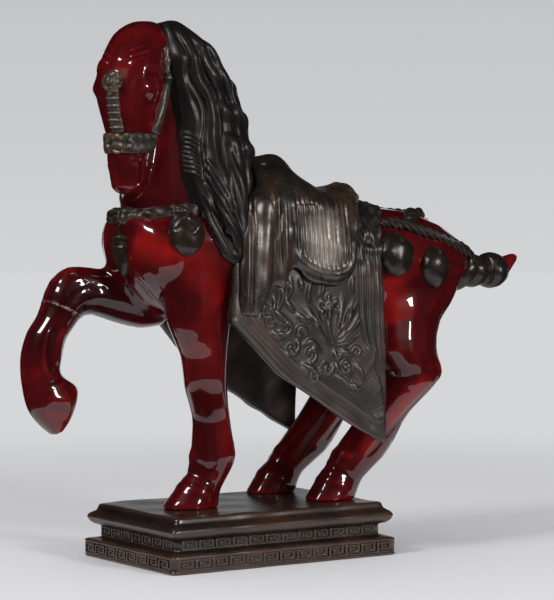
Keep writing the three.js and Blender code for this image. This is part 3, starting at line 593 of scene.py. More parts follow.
def stroke_height(stroke: Stroke, flat: np.ndarray) -> np.ndarray:
    """Returns the height that a stroke gives to each point of a board.

    Args:
        stroke: the pull of the tool.
        flat: the points' coordinates on the board.

    Returns:
        Heights in millimetres.
    """
    run = flowing(stroke.path)
    height = np.zeros(len(flat))
    low, high = run.min(axis=0) - stroke.width, run.max(axis=0) + stroke.width
    near = np.where(((flat > low) & (flat < high)).all(axis=1))[0]
    if not len(near):
        return height
    spots = flat[near]
    best = np.full(len(near), np.inf)
    along = np.zeros(len(near))
    lengths = np.linalg.norm(np.diff(run, axis=0), axis=1)
    reach = np.concatenate([[0], np.cumsum(lengths)])
    for k, (a, b) in enumerate(zip(run, run[1:])):
        span = b - a
        share = np.clip(((spots - a) @ span) / max(span @ span, 1e-9), 0, 1)
        away = np.linalg.norm(spots - a - share[:, None] * span, axis=1)
        closer = away < best
        best = np.where(closer, away, best)
        along = np.where(closer, reach[k] + share * lengths[k], along)
    across = np.clip(best / stroke.width, 0, 1)
    if stroke.tool is Tool.BALL:
        section = 0.5 + 0.5 * np.cos(math.pi * across)
    elif stroke.tool is Tool.KNIFE:
        section = (1 - across) ** 1.4
    else:
        section = 1 - ease(across, 0.55, 1.0)
    place = along / max(reach[-1], 1e-9)
    ends = np.ones(len(near))
    if stroke.fade > 0:
        ends = ease(place, -0.02, stroke.fade) * ease(1 - place, -0.02, stroke.fade)
    height[near] = stroke.height * section * ends
    return height


def place_piece(name: str, mesh: bpy.types.Mesh, nodes: Sequence[str],
                finish: "Finish") -> bpy.types.Object:
    """Sets a finished mesh on the figure.

    Args:
        name: the piece's name.
        mesh: its mesh, in place.
        nodes: the solids that it stands for.
        finish: the glaze or slip.

    Returns:
        The piece.
    """
    mesh.materials.clear()
    mesh.materials.append(finish.material())
    mesh.shade_smooth()
    piece = bpy.data.objects.new(name, mesh)
    bpy.context.scene.collection.objects.link(piece)
    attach(piece, BODY)
    if nodes:
        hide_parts(*nodes)
    LOG.info("%s: %d faces", name, len(mesh.polygons))
    return piece


@dataclass(frozen=True)
class Finish:
    """A fired coat. Every finish has a slot name and makes its material."""

    name: str
    slot: str

    def material(self) -> bpy.types.Material:
        """Returns the finish's material, made once."""
        found = bpy.data.materials.get(self.name)
        if found:
            return found
        made = bpy.data.materials.new(self.name)
        made.use_nodes = True
        made.node_tree.nodes.clear()
        self.mix(made.node_tree)
        return made

    def mix(self, tree: bpy.types.NodeTree) -> None:
        """Builds the nodes of the finish."""
        raise NotImplementedError

    def coat(self, tree: bpy.types.NodeTree, values: dict, links: dict) -> None:
        """Adds the shader and the output.

        Args:
            tree: the material's node tree.
            values: plain values of the shader's sockets.
            links: sockets that patterns feed.
        """
        shader = add_node(tree, "BsdfPrincipled", values=values, links=links)
        add_node(tree, "OutputMaterial", links={"Surface": shader.outputs["BSDF"]})


@dataclass(frozen=True)
class OxbloodGlaze(Finish):
    """Copper-red glaze over a pale body, dipped and fired glossy.

    It gives the eye a deep wet red: near black where it pools, bright where it runs thin over an
    edge, under a clear glassy skin that mirrors the studio.

    Attributes:
        pool: colour where the glaze lies thick.
        body: its usual colour.
        thin: colour where it ran thin.
        seam: the pale body that shows along the broken seam.
        cloud_size: width of the slow changes of colour, in millimetres.
        speck_cell: spacing of the dark specks, in millimetres.
        bead_size: width of the beads in which the seam shows, in millimetres.
        ripple_size: width of the ripples in the glassy skin, in millimetres.
    """

    pool: str = "#180203"
    body: str = "#430509"
    thin: str = "#98120f"
    seam: str = "#a8948a"
    cloud_size: float = 34.0
    speck_cell: float = 6.4
    bead_size: float = 4.0
    ripple_size: float = 9.0

    def mix(self, tree: bpy.types.NodeTree) -> None:
        """Builds pools, thin edges, patches of thin glaze with painted light and painted shade, slow
        clouds, fine specks, the broken seam and the ripple.
        """
        where = add_node(tree, "TexCoord")
        ridge = add_node(tree, "Attribute", {"attribute_name": "ridge"})
        cloud = add_node(tree, "TexNoise", values={
            "Scale": per_metre(self.cloud_size), "Detail": 3.0, "Roughness": 0.55,
        }, links={"Vector": where.outputs["Object"]})
        drift = add_node(tree, "Math", {"operation": "MULTIPLY_ADD"},
                         {1: 0.44, 2: -0.22}, {0: cloud.outputs["Fac"]})
        # The bloom mark holds patches of glaze that ran thin mixed with painted light, and painted shade
        # where it is negative.
        bloom = add_node(tree, "Attribute", {"attribute_name": "bloom"})
        drawn = add_node(tree, "Math", {"operation": "ADD"},
                         links={0: ridge.outputs["Fac"], 1: bloom.outputs["Fac"]})
        depth = add_node(tree, "Math", {"operation": "ADD", "use_clamp": True},
                         links={0: drawn.outputs["Value"], 1: drift.outputs["Value"]})
        red = colour_ramp(tree, depth.outputs["Value"], (
            (0.2, self.pool), (0.5, self.body), (0.86, self.thin)))
        speck = add_node(tree, "TexVoronoi", {"feature": "F1"}, {
            "Scale": per_metre(self.speck_cell),
        }, {"Vector": where.outputs["Object"]})
        dot = add_node(tree, "Math", {"operation": "LESS_THAN"}, {1: 0.09},
                       {0: speck.outputs["Distance"]})
        faint = add_node(tree, "Math", {"operation": "MULTIPLY"}, {1: 0.35},
                         {0: dot.outputs["Value"]})
        speckled = add_node(tree, "Mix", {"data_type": "RGBA"}, {"B": linear(self.pool)},
                            {"Factor": faint.outputs["Value"]})
        tree.links.new(red, speckled.inputs["A"])
        lute = add_node(tree, "Attribute", {"attribute_name": "lute"})
        bead = add_node(tree, "TexNoise", values={
            "Scale": per_metre(self.bead_size), "Detail": 1.0}, links={"Vector": where.outputs["Object"]})
        broken = add_node(tree, "Math", {"operation": "MULTIPLY"},
                          links={0: lute.outputs["Fac"], 1: bead.outputs["Fac"]})
        bare = add_node(tree, "MapRange", values={
            "From Min": 0.3, "From Max": 0.55, "To Min": 0.0, "To Max": 0.7,
        }, links={"Value": broken.outputs["Value"]})
        luted = add_node(tree, "Mix", {"data_type": "RGBA"}, {"B": linear(self.seam)},
                         {"Factor": bare.outputs["Result"]})
        tree.links.new(speckled.outputs["Result"], luted.inputs["A"])
        wave = add_node(tree, "TexNoise", values={
            "Scale": per_metre(self.ripple_size), "Detail": 2.0, "Roughness": 0.5,
        }, links={"Vector": where.outputs["Object"]})
        ripple = add_node(tree, "Bump", values={"Strength": 0.03, "Distance": 0.0006},
                          links={"Height": wave.outputs["Fac"]})
        self.coat(tree, {
            "Roughness": 0.32, "IOR": 1.2, "Coat Weight": 1.0, "Coat Roughness": 0.015,
            "Coat IOR": 1.62,
        }, {"Base Color": luted.outputs["Result"], "Normal": ripple.outputs["Normal"],
            "Coat Normal": ripple.outputs["Normal"]})


@dataclass(frozen=True)
class Slip(Finish):
    """Manganese slip, brushed on and rubbed back on the high places before the firing.

    It gives the eye a soft bronze: brown-black in the hollows, and a greyish brown sheen where
    a cloth has worn it from the ridges.

    Attributes:
        hollow: colour in the hollows.
        ground: colour of the plain ground.
        rubbed: colour of the rubbed ridges.
        brown: colour of the rusty clouds.
        brown_share: how strongly those clouds show.
        index: refractive index, which sets the strength of the sheen.
        roughness_hollow: roughness in the hollows.
        roughness_ridge: roughness of the rubbed ridges.
        cloud_size: width of the clouds, in millimetres.
        grain_size: width of the brush's grain, in millimetres.
        tint: colour of the sheen.
    """

    hollow: str = "#0e0c0b"
    ground: str = "#2a2623"
    rubbed: str = "#6b5c4e"
    brown: str = "#5a3a24"
    brown_share: float = 0.35
    index: float = 1.9
    roughness_hollow: float = 0.5
    roughness_ridge: float = 0.33
    cloud_size: float = 22.0
    grain_size: float = 2.4
    tint: str = "#f0e9e4"

    def mix(self, tree: bpy.types.NodeTree) -> None:
        """Builds the rubbed ridges, the lift from the bloom mark (a painted highlight on the saddle's
        skirt), the brown clouds, the brush grain and the sheen.
        """
        where = add_node(tree, "TexCoord")
        ridge = add_node(tree, "Attribute", {"attribute_name": "ridge"})
        grain = add_node(tree, "TexNoise", values={
            "Scale": per_metre(self.grain_size), "Detail": 4.0, "Roughness": 0.65,
        }, links={"Vector": where.outputs["Object"]})
        jitter = add_node(tree, "Math", {"operation": "MULTIPLY_ADD"},
                          {1: 0.3, 2: -0.15}, {0: grain.outputs["Fac"]})
        # The bloom mark lightens the slip and lowers its roughness; on the saddle's skirt its lighter
        # colour is a painted highlight.
        burnish_and_painted_highlight = add_node(tree, "Attribute", {"attribute_name": "bloom"})
        drawn = add_node(tree, "Math", {"operation": "ADD"},
                         links={0: ridge.outputs["Fac"], 1: burnish_and_painted_highlight.outputs["Fac"]})
        wear_and_painted_highlight = add_node(tree, "Math", {"operation": "ADD", "use_clamp": True},
                        links={0: drawn.outputs["Value"], 1: jitter.outputs["Value"]})
        tone = colour_ramp(tree, wear_and_painted_highlight.outputs["Value"], (
            (0.25, self.hollow), (0.52, self.ground), (0.85, self.rubbed)))
        cloud = add_node(tree, "TexNoise", values={
            "Scale": per_metre(self.cloud_size), "Detail": 3.0, "Roughness": 0.6,
        }, links={"Vector": where.outputs["Object"]})
        patch = add_node(tree, "MapRange", values={
            "From Min": 0.45, "From Max": 0.75, "To Min": 0.0, "To Max": self.brown_share,
        }, links={"Value": cloud.outputs["Fac"]})
        rust = add_node(tree, "Attribute", {"attribute_name": "rust"})
        worn = add_node(tree, "Math", {"operation": "MULTIPLY_ADD", "use_clamp": True},
                        links={0: rust.outputs["Fac"], 1: cloud.outputs["Fac"],
                               2: patch.outputs["Result"]})
        warm = add_node(tree, "Mix", {"data_type": "RGBA"}, {"B": linear(self.brown)},
                        {"Factor": worn.outputs["Value"]})
        tree.links.new(tone, warm.inputs["A"])
        sheen = add_node(tree, "MapRange", values={
            "From Min": 0.35, "From Max": 0.8,
            "To Min": self.roughness_hollow, "To Max": self.roughness_ridge,
        }, links={"Value": wear_and_painted_highlight.outputs["Value"]})
        tooth = add_node(tree, "Bump", values={"Strength": 0.22, "Distance": 0.0003},
                         links={"Height": grain.outputs["Fac"]})
        self.coat(tree, {"IOR": self.index, "Specular Tint": linear(self.tint)}, {
            "Base Color": warm.outputs["Result"], "Roughness": sheen.outputs["Result"],
            "Normal": tooth.outputs["Normal"]})


# Wet ox-blood red over the whole horse.
GLAZE = OxbloodGlaze("oxblood_glaze", "red_glaze")
# Near-black hair with a soft grey shine along the locks.
MANE_SLIP = Slip("burnished_mane_slip", "dark_slip", hollow="#060606", ground="#131212",
                 rubbed="#333031", brown="#3a2217", brown_share=0.3, index=1.5,
                 roughness_hollow=0.42, roughness_ridge=0.3)
# Charcoal cloth, grey where the relief is rubbed, with brownish hems.
CLOTH_SLIP = Slip("burnished_cloth_slip", "dark_slip", hollow="#080707", ground="#151211",
                  rubbed="#4e4744", brown="#54382a", brown_share=0.4)
# The brightest slip: black-brown folds whose pale rubbed colour on the flutes is partly rubbing and
# partly a painted highlight, so they flash silvery.
SADDLE_SLIP = Slip("burnished_saddle_slip_with_painted_highlight", "dark_slip", hollow="#070605", ground="#14110f",
                   rubbed="#8f867c", brown="#56341f", brown_share=0.4, index=2.1,
                   roughness_hollow=0.4, roughness_ridge=0.29)
# Warm dark straps and bosses, brown on their edges.
HARNESS_SLIP = Slip("burnished_harness_slip", "dark_slip", hollow="#080706", ground="#191412",
                    rubbed="#4c3b2d", brown="#3f281a", brown_share=0.5, index=1.7)
# Dull black-brown ropes, a shade lighter on each twist.
CORD_SLIP = Slip("burnished_cord_slip", "dark_slip", hollow="#070505", ground="#120f0d",
                 rubbed="#372d27", brown="#33211a", brown_share=0.4, index=1.55)
# Smooth dark bronze bells with a rounded soft highlight.
BELL_SLIP = Slip("burnished_bell_slip", "dark_slip", hollow="#070605", ground="#16120f",
                 rubbed="#43352a", brown="#38251a", brown_share=0.4, index=1.7,
                 roughness_hollow=0.36, roughness_ridge=0.26)
# Tarnished gilt, yellowish on the raised leaves of the plaque and noseband.
GILT_SLIP = Slip("worn_gilt_slip", "gilt_slip", hollow="#0b0a09", ground="#241e19",
                 rubbed="#75603f", brown="#4c331d", brown_share=0.4, roughness_ridge=0.3)
# Dry greyish brown, paler than the rest, between the ribs of the face strap.
FACE_STRAP_SLIP = Slip("worn_face_strap_slip", "gilt_slip", hollow="#1d1613", ground="#3b302a",
                       rubbed="#7d6d5f", brown="#4a3226", brown_share=0.3)
# Dark grey straps with a faint bronze edge.
CHEEK_SLIP = Slip("worn_cheek_slip", "gilt_slip", hollow="#0b0a0a", ground="#23211f",
                  rubbed="#5a5149", brown="#46301f", brown_share=0.4, roughness_ridge=0.3)
# Almost black beads with a small sharp highlight.
BEAD_SLIP = Slip("worn_bead_slip", "gilt_slip", hollow="#060505", ground="#0f0d0c",
                 rubbed="#2c2520", brown="#2a1b13", brown_share=0.3, roughness_ridge=0.22)
# Dark bronze plinth, reddish brown on its edges and key lines.
PLINTH_SLIP = Slip("burnished_plinth_slip", "plinth_slip", hollow="#080605", ground="#1c1512",
                   rubbed="#5e3e2e", brown="#54331f", brown_share=0.45, roughness_hollow=0.34,
                   roughness_ridge=0.26, cloud_size=40.0)


def head_board(quarter: int) -> Board:
    """Returns a board held against the turned head.

    Args:
        quarter: 0 for the face, 1 for the near cheek and -1 for the far cheek.

    Returns:
        The board; its first coordinate runs to the near side on the face and forward on a cheek.
    """
    c, s = math.cos(math.radians(HEAD_TURN)), math.sin(math.radians(HEAD_TURN))
    ahead, aside = (-c, -s, 0.0), (s, -c, 0.0)
    if quarter == 0:
        return Board(across=aside, out=ahead, origin=HEAD_AXIS)
    return Board(across=ahead, out=tuple(quarter * v for v in aside), origin=HEAD_AXIS)


def spiral(middle: Point, radius: float, turns: float, start: float) -> Path:
    """Returns a scroll that winds in to its middle.

    Args:
        middle: the scroll's eye.
        radius: its outer radius.
        turns: number of turns; a negative number winds it the other way.
        start: bearing of its outer end, in degrees.

    Returns:
        Points from the outer end to the eye.
    """
    count = 14
    points = []
    for k in range(count + 1):
        share = k / count
        angle = math.radians(start) + 2 * math.pi * turns * share
        reach = radius * (1 - share) ** 0.8
        points.append((middle[0] + reach * math.cos(angle), middle[1] + reach * math.sin(angle)))
    return points


def moved(path: Path, across: float, up: float) -> Path:
    """Returns a path shifted on its board."""
    return [(u + across, v + up) for u, v in path]


@dataclass
class HorseBody:
    """The glazed horse: trunk, neck, head, legs and tail in one skin.

    Attributes:
        grain: spacing of the skin's vertices.
        swell: growth of each casting, so that neighbours fuse.
        joint_reach: distance over which the luted joints are sponged smooth.
        seam_reach: half width of the seam that shows below the raised knee.
        seam_rise: how proud that seam is.
        jaw_height: height of the jaw; what is above and in front belongs to the head.
        head_depth: how far the head reaches behind its axis.
        castings: the solids that fuse.
        sponged: the joints that don't show.
        hooves: middle of each planted hoof, seen from above.
        hoof_reach: half the length and half the width of the clay worked about a hoof.
        knee_push: how far the standing knee comes forward, by height.
        thigh_push: how far each thigh swells, by height.
        thigh_turn: how far forward the thighs swell, in degrees from straight out.
        forehand_end: place along X behind the shoulder.
        hindquarters_start: place along X before the thighs.
        raised_leg: place along X behind the raised leg, and height above it.
        thin_patches: positive ones are partly glaze that ran thin and partly painted light where the
            lamps fall; negative ones are painted shade on the raised leg and the standing foreleg.
    """

    grain: float = 1.55
    swell: float = 0.3
    joint_reach: float = 11.0
    seam_reach: float = 2.6
    seam_rise: float = 0.3
    jaw_height: float = 258.0
    head_depth: float = 24.0
    castings: tuple[str, ...] = (
        "torso", "neck", "head", "left_foreleg", "right_forearm", "right_lower_foreleg",
        "left_hindleg", "right_hindleg", "tail")
    sponged: tuple[tuple[str, str], ...] = (
        ("torso", "left_foreleg"), ("torso", "right_forearm"), ("torso", "left_hindleg"),
        ("torso", "right_hindleg"), ("torso", "neck"), ("neck", "head"), ("torso", "tail"))
    hooves: Path = ((-47.0, -8.0), (62.0, -22.0), (51.0, 39.0))
    hoof_reach: Point = (26.0, 17.0)
    knee_push: Path = ((101, 0.0), (108, 2.2), (114, 6.0), (120, 10.4), (126, 12.4), (132, 11.6),
                       (140, 9.4), (150, 6.8), (160, 4.2), (172, 1.8), (190, 0.0))
    thigh_push: Path = ((92, 0.0), (104, 3.0), (114, 6.2), (122, 7.6), (134, 6.4), (146, 3.6),
                        (158, 1.2), (168, 0.0))
    thigh_turn: float = 12.0
    forehand_end: float = -20.0
    hindquarters_start: float = 30.0
    raised_leg: Point = (-98.0, 214.0)
    # Glaze that ran thin mixed with painted light, and painted shade where the height is negative.
    thin_patches: tuple[Stroke, ...] = (
        Stroke([(-76, 230), (-62, 205), (-46, 180)], 20, 0.17, fade=0.1),
        Stroke([(90, 200), (100, 180), (104, 165)], 22, 0.22, fade=0.1),
        Stroke([(-100, 228), (-88, 220)], 12, 0.2, fade=0),
        Stroke([(126, 130), (100, 92), (78, 70)], 9, 0.16, fade=0.1),
        Stroke([(-165, 165), (-150, 185), (-112, 186)], 34, -0.24, fade=0),
        Stroke([(-50, 110), (-50, 60)], 22, -0.12, fade=0.1),
    )

    def build(self) -> None:
        """Fuses the castings, models the muscles and the face, and glazes the skin."""
        clay = Clay("horse_body", self.castings, self.grain, self.swell).largest()
        joints = np.zeros(len(clay.points))
        for first, second in self.sponged:
            joints = np.maximum(joints, clay.seam_weight(first, second, self.joint_reach))
        clay.settle(40, joints, shrink=True).settle(10)
        self.model_trunk(clay)
        self.model_raised_leg(clay)
        self.model_hooves(clay)
        clay.settle(3)
        clay.refine(self.on_head).settle(3)
        self.model_face(clay)
        clay.settle(14, self.on_head(clay.points).astype(float))
        seam = clay.seam_weight("right_forearm", "right_lower_foreleg", self.seam_reach)
        clay.lift(self.seam_rise * seam)
        # The bloom mark carries glaze that ran thin, painted light and painted shade.
        clay.mark("lute", seam).mark("bloom", self.bloom(clay)).finish(GLAZE)

    def bloom(self, clay: Clay) -> np.ndarray:
        """Returns how much brighter the glaze is painted at each vertex: partly glaze that ran thin,
        partly painted light, and painted shade where negative.
        """
        amount = np.zeros(len(clay.points))
        for flank in Flank:
            side = flank.board()
            flat, facing = side.place(clay.points), side.facing(clay.normals)
            for patch in self.thin_patches:
                amount += stroke_height(patch, flat) * facing
        return amount

    def on_head(self, centres: np.ndarray) -> np.ndarray:
        """Returns which points lie on the head."""
        front = centres[:, 0] < HEAD_AXIS[0] + self.head_depth
        return front & (centres[:, 2] > self.jaw_height)

    def model_trunk(self, clay: Clay) -> None:
        """Models the breast, shoulders, flanks and thighs."""
        for flank in Flank:
            side = flank.board()
            clay.draw(side, [
                Stroke([(-88, 224), (-84, 214)], 17, 1.6, fade=0),
                Stroke([(150, 215), (158, 196)], 26, 1.8, fade=0),
                Stroke([(176, 196), (163, 168), (150, 146)], 6, -0.9),
                Stroke([(138, 134), (140, 128)], 8, 1.4, fade=0),
                Stroke([(131, 120), (112, 96), (92, 76), (80, 66)], 4, -0.8),
            ])
        quarter = Flank.NEAR.board(VIEW_TURN)
        front = (clay.points[:, 0] < self.forehand_end).astype(float)
        clay.draw(quarter, [
            Stroke([(-71, 203), (-63, 191), (-56, 181), (-51, 172)], 2.8, -1.3),
            Stroke([(-77, 200), (-68, 188), (-60, 177), (-54, 168)], 2.8, 0.7),
            Stroke([(-80, 192), (-72, 181), (-64, 171)], 2.4, -0.9),
            Stroke([(-58, 208), (-50, 192), (-45, 178)], 6.0, 0.9),
        ], region=front)
        knee = np.interp(clay.points[:, 2], *zip(*self.knee_push))
        clay.push(quarter, knee * front * (clay.points[:, 1] < 6))
        clay.settle(10, front * ease(knee, 0.2, 3.0), shrink=True)
        for flank in Flank:
            rear = clay.points[:, 0] > self.hindquarters_start
            rear &= clay.points[:, 1] * flank.value > 0
            thigh = np.interp(clay.points[:, 2], *zip(*self.thigh_push))
            clay.push(flank.board(self.thigh_turn), thigh * rear)
        clay.settle(4)
        breast = Board(across=(0, 1, 0), out=(-1, 0, 0))
        clay.draw(breast, [
            Stroke([(-4, 236), (-3, 215), (0, 190)], 5.5, -1.5),
            Stroke([(-18, 222), (-20, 205)], 14, 1.4, fade=0),
            Stroke([(14, 222), (16, 208)], 14, 1.4, fade=0),
        ])

    def model_raised_leg(self, clay: Clay) -> None:
        """Models the sinews, the elbow folds and the fetlock of the raised leg."""
        behind, above = self.raised_leg
        raised = (clay.points[:, 0] < behind) & (clay.points[:, 2] < above)
        for flank in Flank:
            clay.draw(flank.board(), [
                Stroke([(-142, 171), (-147, 158), (-148, 145), (-144, 134)], 5.4, -2.0),
                Stroke([(-136, 168), (-140, 152), (-139, 138)], 3.0, 0.7),
                Stroke([(-137, 186), (-128, 194), (-116, 196), (-104, 191)], 5.5, -1.1),
                Stroke([(-134, 180), (-121, 184), (-106, 182)], 4.6, 0.5),
                Stroke([(-150, 128), (-143, 129), (-137, 133)], 2.6, -0.9),
                Stroke([(-146, 118), (-137, 117)], 7.0, 1.0, fade=0),
                Stroke([(-106, 206), (-99, 203)], 2.0, -0.8),
                Stroke([(-101, 210), (-95, 205)], 2.0, -0.7),
            ], region=raised.astype(float))

    def model_hooves(self, clay: Clay) -> None:
        """Models the fetlock, the pastern's hollow and the coronet of each planted hoof."""
        toe = 19.0
        for x, y in self.hooves:
            away = np.abs(clay.points[:, :2] - np.array([x, y]))
            region = (away < np.array(self.hoof_reach)).all(axis=1).astype(float)
            for flank in Flank:
                clay.draw(flank.board(), [
                    Stroke([(x - 7, 80), (x + 4, 74), (x + toe - 8, 68)], 6.0, 0.9),
                    Stroke([(x - toe + 9, 66), (x + 1, 61), (x + toe - 7, 52)], 4.2, -0.8),
                    Stroke([(x - toe + 4, 56), (x - 2, 52), (x + toe - 9, 44)], 4.5, 0.6),
                ], region=region)

    def model_face(self, clay: Clay) -> None:
        """Models brow, eyes, cheeks, nostrils, lips and jaw."""
        head = self.on_head(clay.points).astype(float)
        for quarter in (1, -1):
            cheek = head_board(quarter)
            clay.draw(cheek, [
                Stroke([(8, 331), (11, 331.5)], 9.0, 2.4, fade=0),
                Stroke([(1, 338), (7, 341), (14, 340)], 3.0, -0.7),
                Stroke([(-3, 343), (4, 346.5), (11, 347.5), (18, 345.5)], 6.5, 1.0),
                Stroke([(-2, 324), (4, 321), (12, 320.5)], 4.0, -0.7),
                Stroke([(-7, 316), (-4, 306), (-5, 297)], 10, 1.2, fade=0.35),
                Stroke([(10.5, 283.5), (8, 278), (6.5, 271), (7.5, 264)], 2.2, -1.4, fade=0.1),
                Stroke([(3, 281), (2, 273), (3, 266)], 4.4, 0.9),
            ], region=head)
        face = head_board(0)
        half = [
            Stroke([(6, 353.5), (10, 354.2), (14.5, 356.4), (18, 359)], 1.9, 0.7),
            Stroke([(5, 358), (9, 359), (13.5, 361.6), (16, 363.6)], 1.9, 0.6),
            Stroke([(7, 349.2), (12, 350.4), (18, 353.6)], 1.9, 0.6),
            Stroke([(8, 333), (8.5, 322), (8, 310), (7.5, 303)], 4.0, -0.6),
            Stroke([(9.6, 286), (10.8, 282.5), (10, 279.5)], 3.2, -0.5, fade=0.1),
            Stroke([(3, 266), (6.5, 264)], 6.0, 0.8, fade=0),
        ]
        middle = [
            Stroke([(0, 362), (0, 350)], 9, 0.7),
            Stroke([(0, 284), (0, 272), (0, 264)], 2.6, -0.4),
        ]
        clay.draw(face, half + mirrored(half) + middle, region=head)


@dataclass
class Mane:
    """The mane: long wavy locks that fall back over the crest and down the near shoulder.

    Attributes:
        grain: spacing of the vertices.
        edges: height, front edge and rear edge of the mane, from the poll down.
        near_locks: lines between the near side's locks, front to back.
        far_shares: places of the far side's lines, as shares of the mane's width.
        hair_rise: height of a hair ridge.
        hair_boldness: how high one hair ridge after another is, as a share of that.
        groove: depth of the groove between two locks.
        tufts: middles of the locks that stand out.
        plain: the smooth lock in the middle of the near side, which has no hair lines.
        scallops: heights of the tufts that show behind the crest.
    """

    grain: float = 0.95
    edges: tuple[Spot, ...] = (
        (378, -70, -52), (369, -74, -42), (354, -79, -29), (334, -77, -17), (313, -74, -8),
        (290, -73, -1), (270, -71, -9), (246, -64, -14), (226, -57, -11), (210, -45, -20))
    near_locks: tuple[Path, ...] = (
        ((-71, 364), (-72, 351), (-70, 338), (-67, 324), (-66, 303), (-66, 283), (-65, 262),
         (-60, 245), (-52, 230), (-46, 216)),
        ((-66, 374), (-66, 366), (-64, 357), (-63, 349), (-63, 340), (-58, 331), (-52, 321),
         (-52, 307), (-55, 289), (-56, 272), (-53, 255), (-48, 238), (-40, 220)),
        ((-60, 372), (-57, 360), (-55, 350), (-50, 339), (-44, 330), (-42, 317), (-41, 303),
         (-42, 286), (-43, 269), (-41, 252), (-37, 236), (-33, 220)),
        ((-50, 366), (-43, 350), (-35, 335), (-29, 317), (-25, 303), (-22, 286), (-21, 268),
         (-22, 250), (-24, 234), (-27, 218)),
        ((-44, 366), (-34, 350), (-24, 335), (-15, 317), (-8, 301), (-4, 286), (-8, 268),
         (-12, 250), (-14, 234), (-20, 216)),
    )
    far_shares: tuple[float, ...] = (0.04, 0.28, 0.52, 0.76, 0.98)
    hair_rise: float = 0.34
    hair_boldness: tuple[float, ...] = (1.3, 0.2, 0.7, -0.8, 1.1, 0.1, 0.9)
    groove: float = 1.5
    tufts: tuple[Path, ...] = (
        ((-41, 308), (-38, 288), (-33, 268), (-27, 248), (-25, 232)),
        ((-47, 296), (-46, 276), (-42, 256), (-36, 238), (-31, 224)),
        ((-31, 300), (-29, 282), (-27, 266)),
        ((-22, 296), (-17, 276), (-17, 256), (-21, 236)),
        ((-37, 344), (-29, 328), (-22, 312)),
        ((-27, 346), (-18, 330), (-12, 314), (-9, 300)),
        ((-47, 366), (-38, 352), (-30, 338)),
    )
    plain: Path = ((-58, 300), (-58, 270), (-50, 248), (-40, 232))
    scallops: tuple[float, ...] = (356, 335, 312, 289)

    def build(self) -> None:
        """Combs the locks on both sides and dresses the mane."""
        clay = Clay("mane_locks", ["mane"], self.grain)
        clay.settle(12, shrink=True).hand(0.8, 16.0)
        near = Flank.NEAR.board()
        turn = math.radians(VIEW_TURN)
        rear = Board(across=(math.sin(turn), math.cos(turn), 0),
                     out=(math.cos(turn), -math.sin(turn), 0))
        outer = ease(clay.normals @ np.array(rear.out), 0.35, 0.7)
        clay.draw(rear, [Stroke([(-60, z + 8), (-34, z), (10, z - 10)], 9.5, 2.6, fade=0.1)
                         for z in self.scallops], region=outer)
        clay.draw(Board(across=(0, 1, 0), out=(1, 0, 0)), self.back_locks())
        clay.draw(near, self.locks(self.near_locks))
        clay.draw(near, [Stroke(tuft, 4.6, 1.7, fade=0.5) for tuft in self.tufts])
        plain = stroke_height(Stroke(self.plain, 15, 1.0, Tool.FLAT, 0), near.place(clay.points))
        clay.draw(near, self.hair(self.near_locks), region=1 - plain)
        clay.draw(near, self.feathers())
        clay.draw(near, self.strap_end())
        far = [self.line(share) for share in self.far_shares]
        clay.draw(Flank.FAR.board(), self.locks(far) + self.hair(far))
        clay.finish(MANE_SLIP)

    def line(self, share: float) -> Path:
        """Returns a wavy line down the mane at a share of its width."""
        wave, length = 3.2, 15.0
        return [(front + (rear - front) * share + wave * math.sin(z / length + 4 * share), z)
                for z, front, rear in self.edges]

    def locks(self, lines: Sequence[Path]) -> list[Stroke]:
        """Returns grooves between the locks and a soft roll on each lock."""
        grooves = [Stroke(line, 2.4, -self.groove, fade=0.08) for line in lines[1:-1]]
        return grooves + fan(lines, 1, 5.0, 1.2, Tool.BALL)

    def hair(self, lines: Sequence[Path]) -> list[Stroke]:
        """Returns hair lines that follow the locks, some bold and some faint."""
        strokes = fan(lines, 5, 1.4, self.hair_rise)
        return [Stroke(hair.path, hair.width, hair.height * bold, hair.tool, 0.25)
                for hair, bold in zip(strokes, cycle(self.hair_boldness))]

    def feathers(self) -> list[Stroke]:
        """Returns the short hooks along the mane's front edge and the long curls below them."""
        strokes = []
        for k in range(9):
            z, x = 300 - 3.3 * k, -60.5 - 0.25 * k
            strokes.append(Stroke([(x - 4.5, z + 1.5), (x, z), (x + 3.5, z - 3), (x + 5, z - 7)],
                                  1.3, 1.4, Tool.KNIFE))
        for k in range(8):
            z, x = 287 - 5.0 * k, -53 - 0.8 * k
            strokes.append(Stroke([(x - 2.5, z), (x + 1, z - 9), (x + 4, z - 18), (x + 10, z - 30),
                                   (x + 18, z - 41)], 1.5, 1.3, Tool.KNIFE))
        return strokes

    def strap_end(self) -> list[Stroke]:
        """Returns the rolled strap along the mane's lower front edge and the groove behind it."""
        edge = ((-60, 247), (-54, 237), (-48, 226), (-42, 215))
        return [Stroke(edge, 4.2, 1.3, fade=0.1), Stroke(moved(edge, 5.0, 3.0), 2.0, -1.5, fade=0.1)]

    def back_locks(self) -> list[Stroke]:
        """Returns hair lines down the back of the crest."""
        strokes = []
        for k in range(9):
            y = -34 + 8 * k
            line = [(y * (0.35 + 0.65 * (372 - z) / 90) + 2.4 * math.sin(z / 9 + k), z)
                    for z in range(372, 281, -13)]
            strokes.append(Stroke(line, 2.0, 0.7, fade=0.1))
        return strokes


